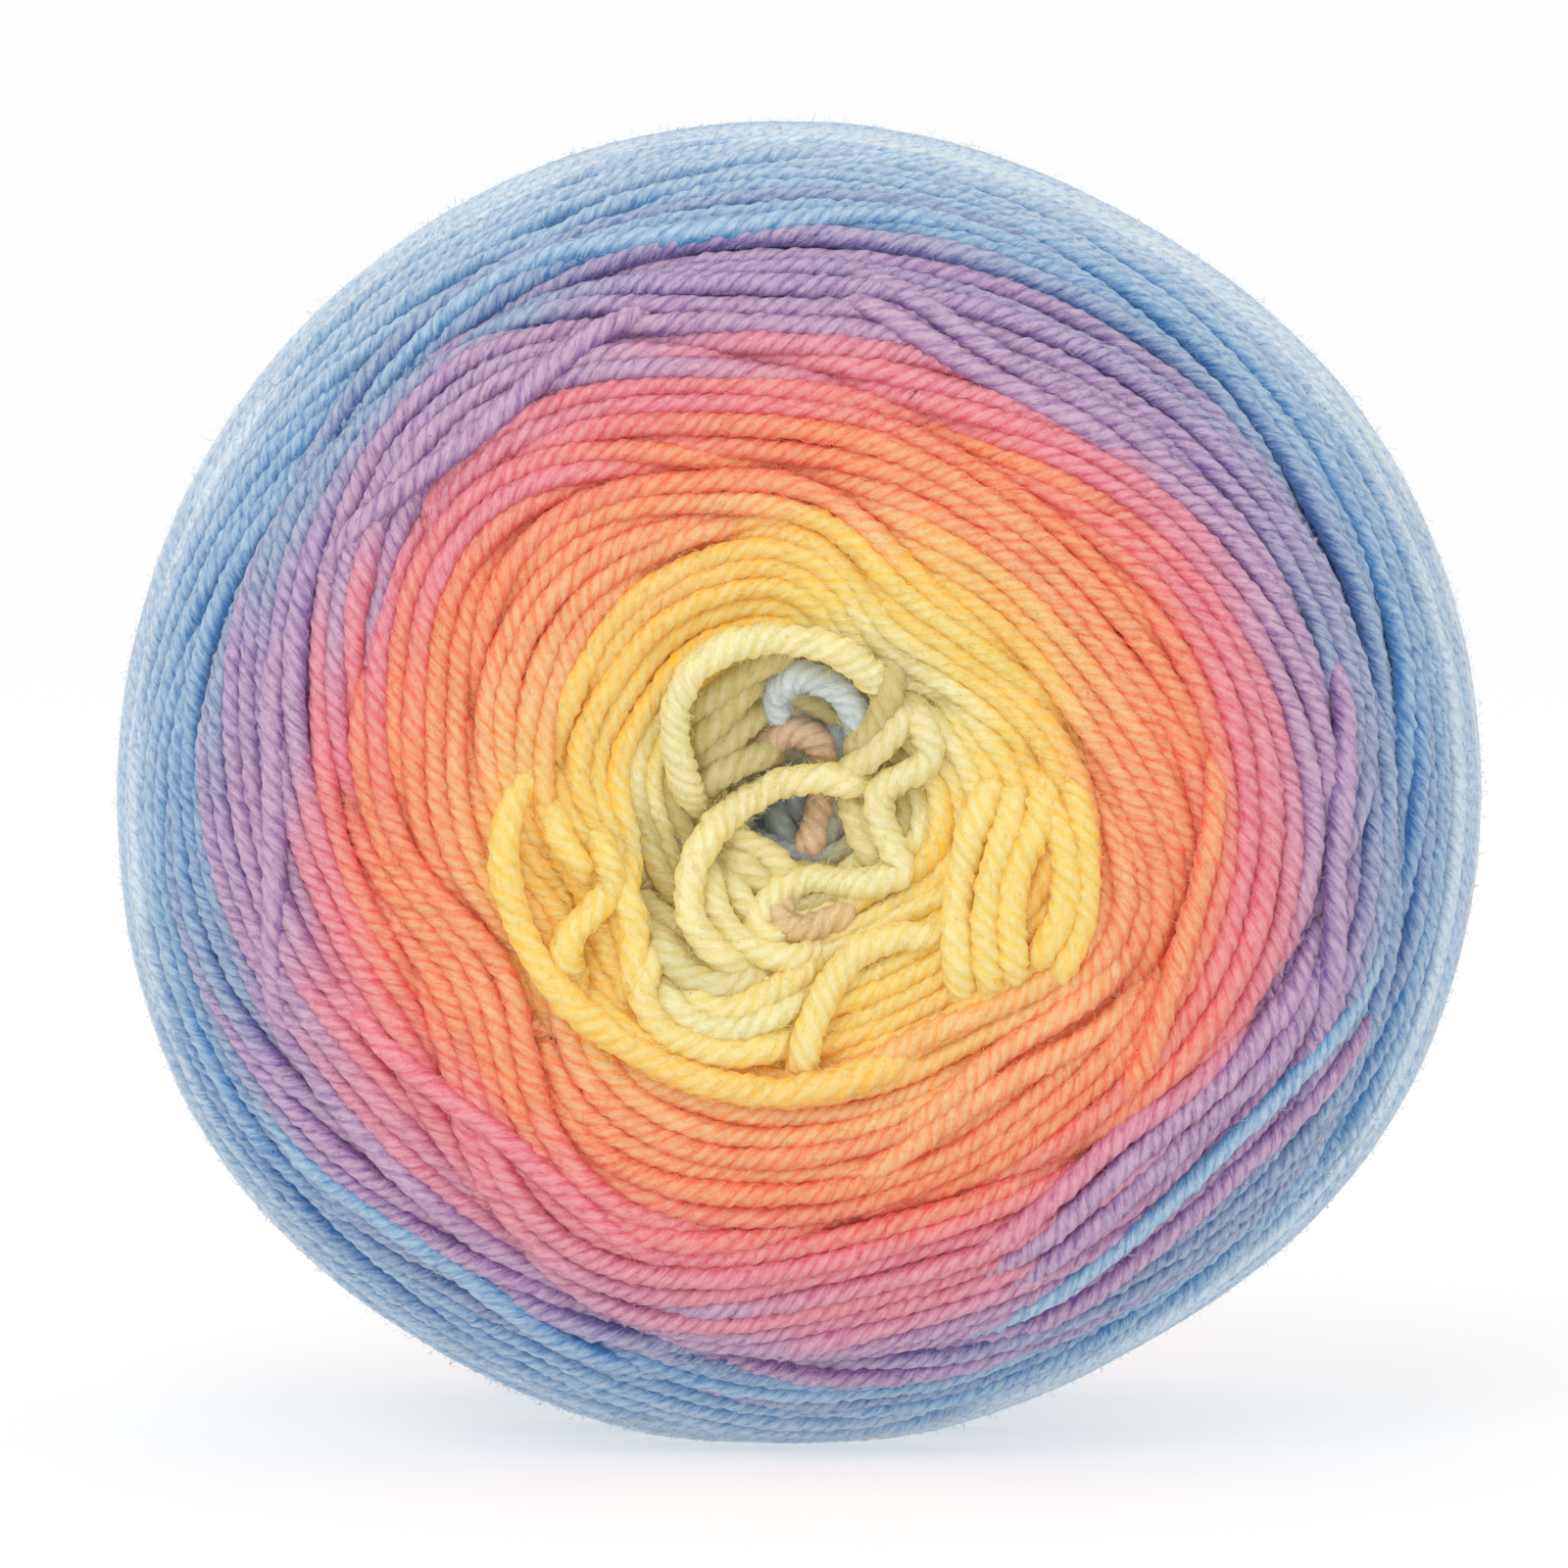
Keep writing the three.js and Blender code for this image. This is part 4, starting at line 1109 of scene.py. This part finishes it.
yarnMaterial = acrylicYarnMaterial("pliedAcrylicYarn")
fibreMaterial = acrylicFibreMaterial("looseAcrylicFibre")
bodyPieces = [*[piece for piece, _ in front], slack[0], side[0], back[0], core, *fuzz]
for piece in bodyPieces:
    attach(piece, "root")
    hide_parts("wound_body")
for piece in [*bodyPieces, *[cord for cord, _ in cords]]:
    piece.data.materials.append(fibreMaterial if piece in fuzz else yarnMaterial)
print("materials made")

# A plain pale sweep under and behind the roll, soft light all round and a large soft lamp above the camera.
studioPlan = {
    "sweepWidth": 6.0,
    "sweepFront": -3.0,
    "sweepBack": 1.6,
    "sweepRadius": 0.8,
    "sweepSteps": 16,
    "sweepHeight": 4.0,
    "paper": "bbbbbb",
    "paperRoughness": 0.95,
    "paperGlow": 0.49,  # the sweep is lit from behind, so the shadow on it stays faint
    "skyStrength": 0.91,
    "keyPower": 6.0,
    "keySize": 0.9,
    "keyPlace": (-0.35, -1.1, 1.15),
}


def makeSweep():
    plan = studioPlan
    arc = [(plan["sweepBack"] + plan["sweepRadius"] * math.sin(t), plan["sweepRadius"] * (1 - math.cos(t)))
           for t in np.linspace(0, math.pi / 2, plan["sweepSteps"])]
    line = [(plan["sweepFront"], 0.0), *arc, (plan["sweepBack"] + plan["sweepRadius"], plan["sweepHeight"])]
    half = plan["sweepWidth"] / 2
    points = [(x, y, z) for y, z in line for x in (-half, half)]
    faces = [(2 * k, 2 * k + 1, 2 * k + 3, 2 * k + 2) for k in range(len(line) - 1)]
    mesh = bpy.data.meshes.new("paper_sweep")
    mesh.from_pydata(points, [], faces)
    mesh.shade_smooth()
    sweep = bpy.data.objects.new("paper_sweep", mesh)
    bpy.context.collection.objects.link(sweep)
    paper = bpy.data.materials.new("backlitOpalAcrylicSheet")
    paper.use_nodes = True
    shader = paper.node_tree.nodes["Principled BSDF"]
    shader.inputs["Base Color"].default_value = linear(plan["paper"])
    shader.inputs["Roughness"].default_value = plan["paperRoughness"]
    shader.inputs["Emission Color"].default_value = (1, 1, 1, 1)
    shader.inputs["Emission Strength"].default_value = plan["paperGlow"]
    mesh.materials.append(paper)


def makeLights():
    plan = studioPlan
    world = bpy.data.worlds.new("studio")
    bpy.context.scene.world = world
    world.use_nodes = True
    background = world.node_tree.nodes["Background"]
    background.inputs["Color"].default_value = (1, 1, 1, 1)
    background.inputs["Strength"].default_value = plan["skyStrength"]
    lamp = bpy.data.lights.new("key", "AREA")
    lamp.energy = plan["keyPower"]
    lamp.size = plan["keySize"]
    key = bpy.data.objects.new("key", lamp)
    key.location = plan["keyPlace"]
    key.rotation_euler = (cameraPlan["aim"] - Vector(plan["keyPlace"])).to_track_quat("-Z", "Y").to_euler()
    bpy.context.collection.objects.link(key)


makeSweep()
makeLights()
print("studio made")
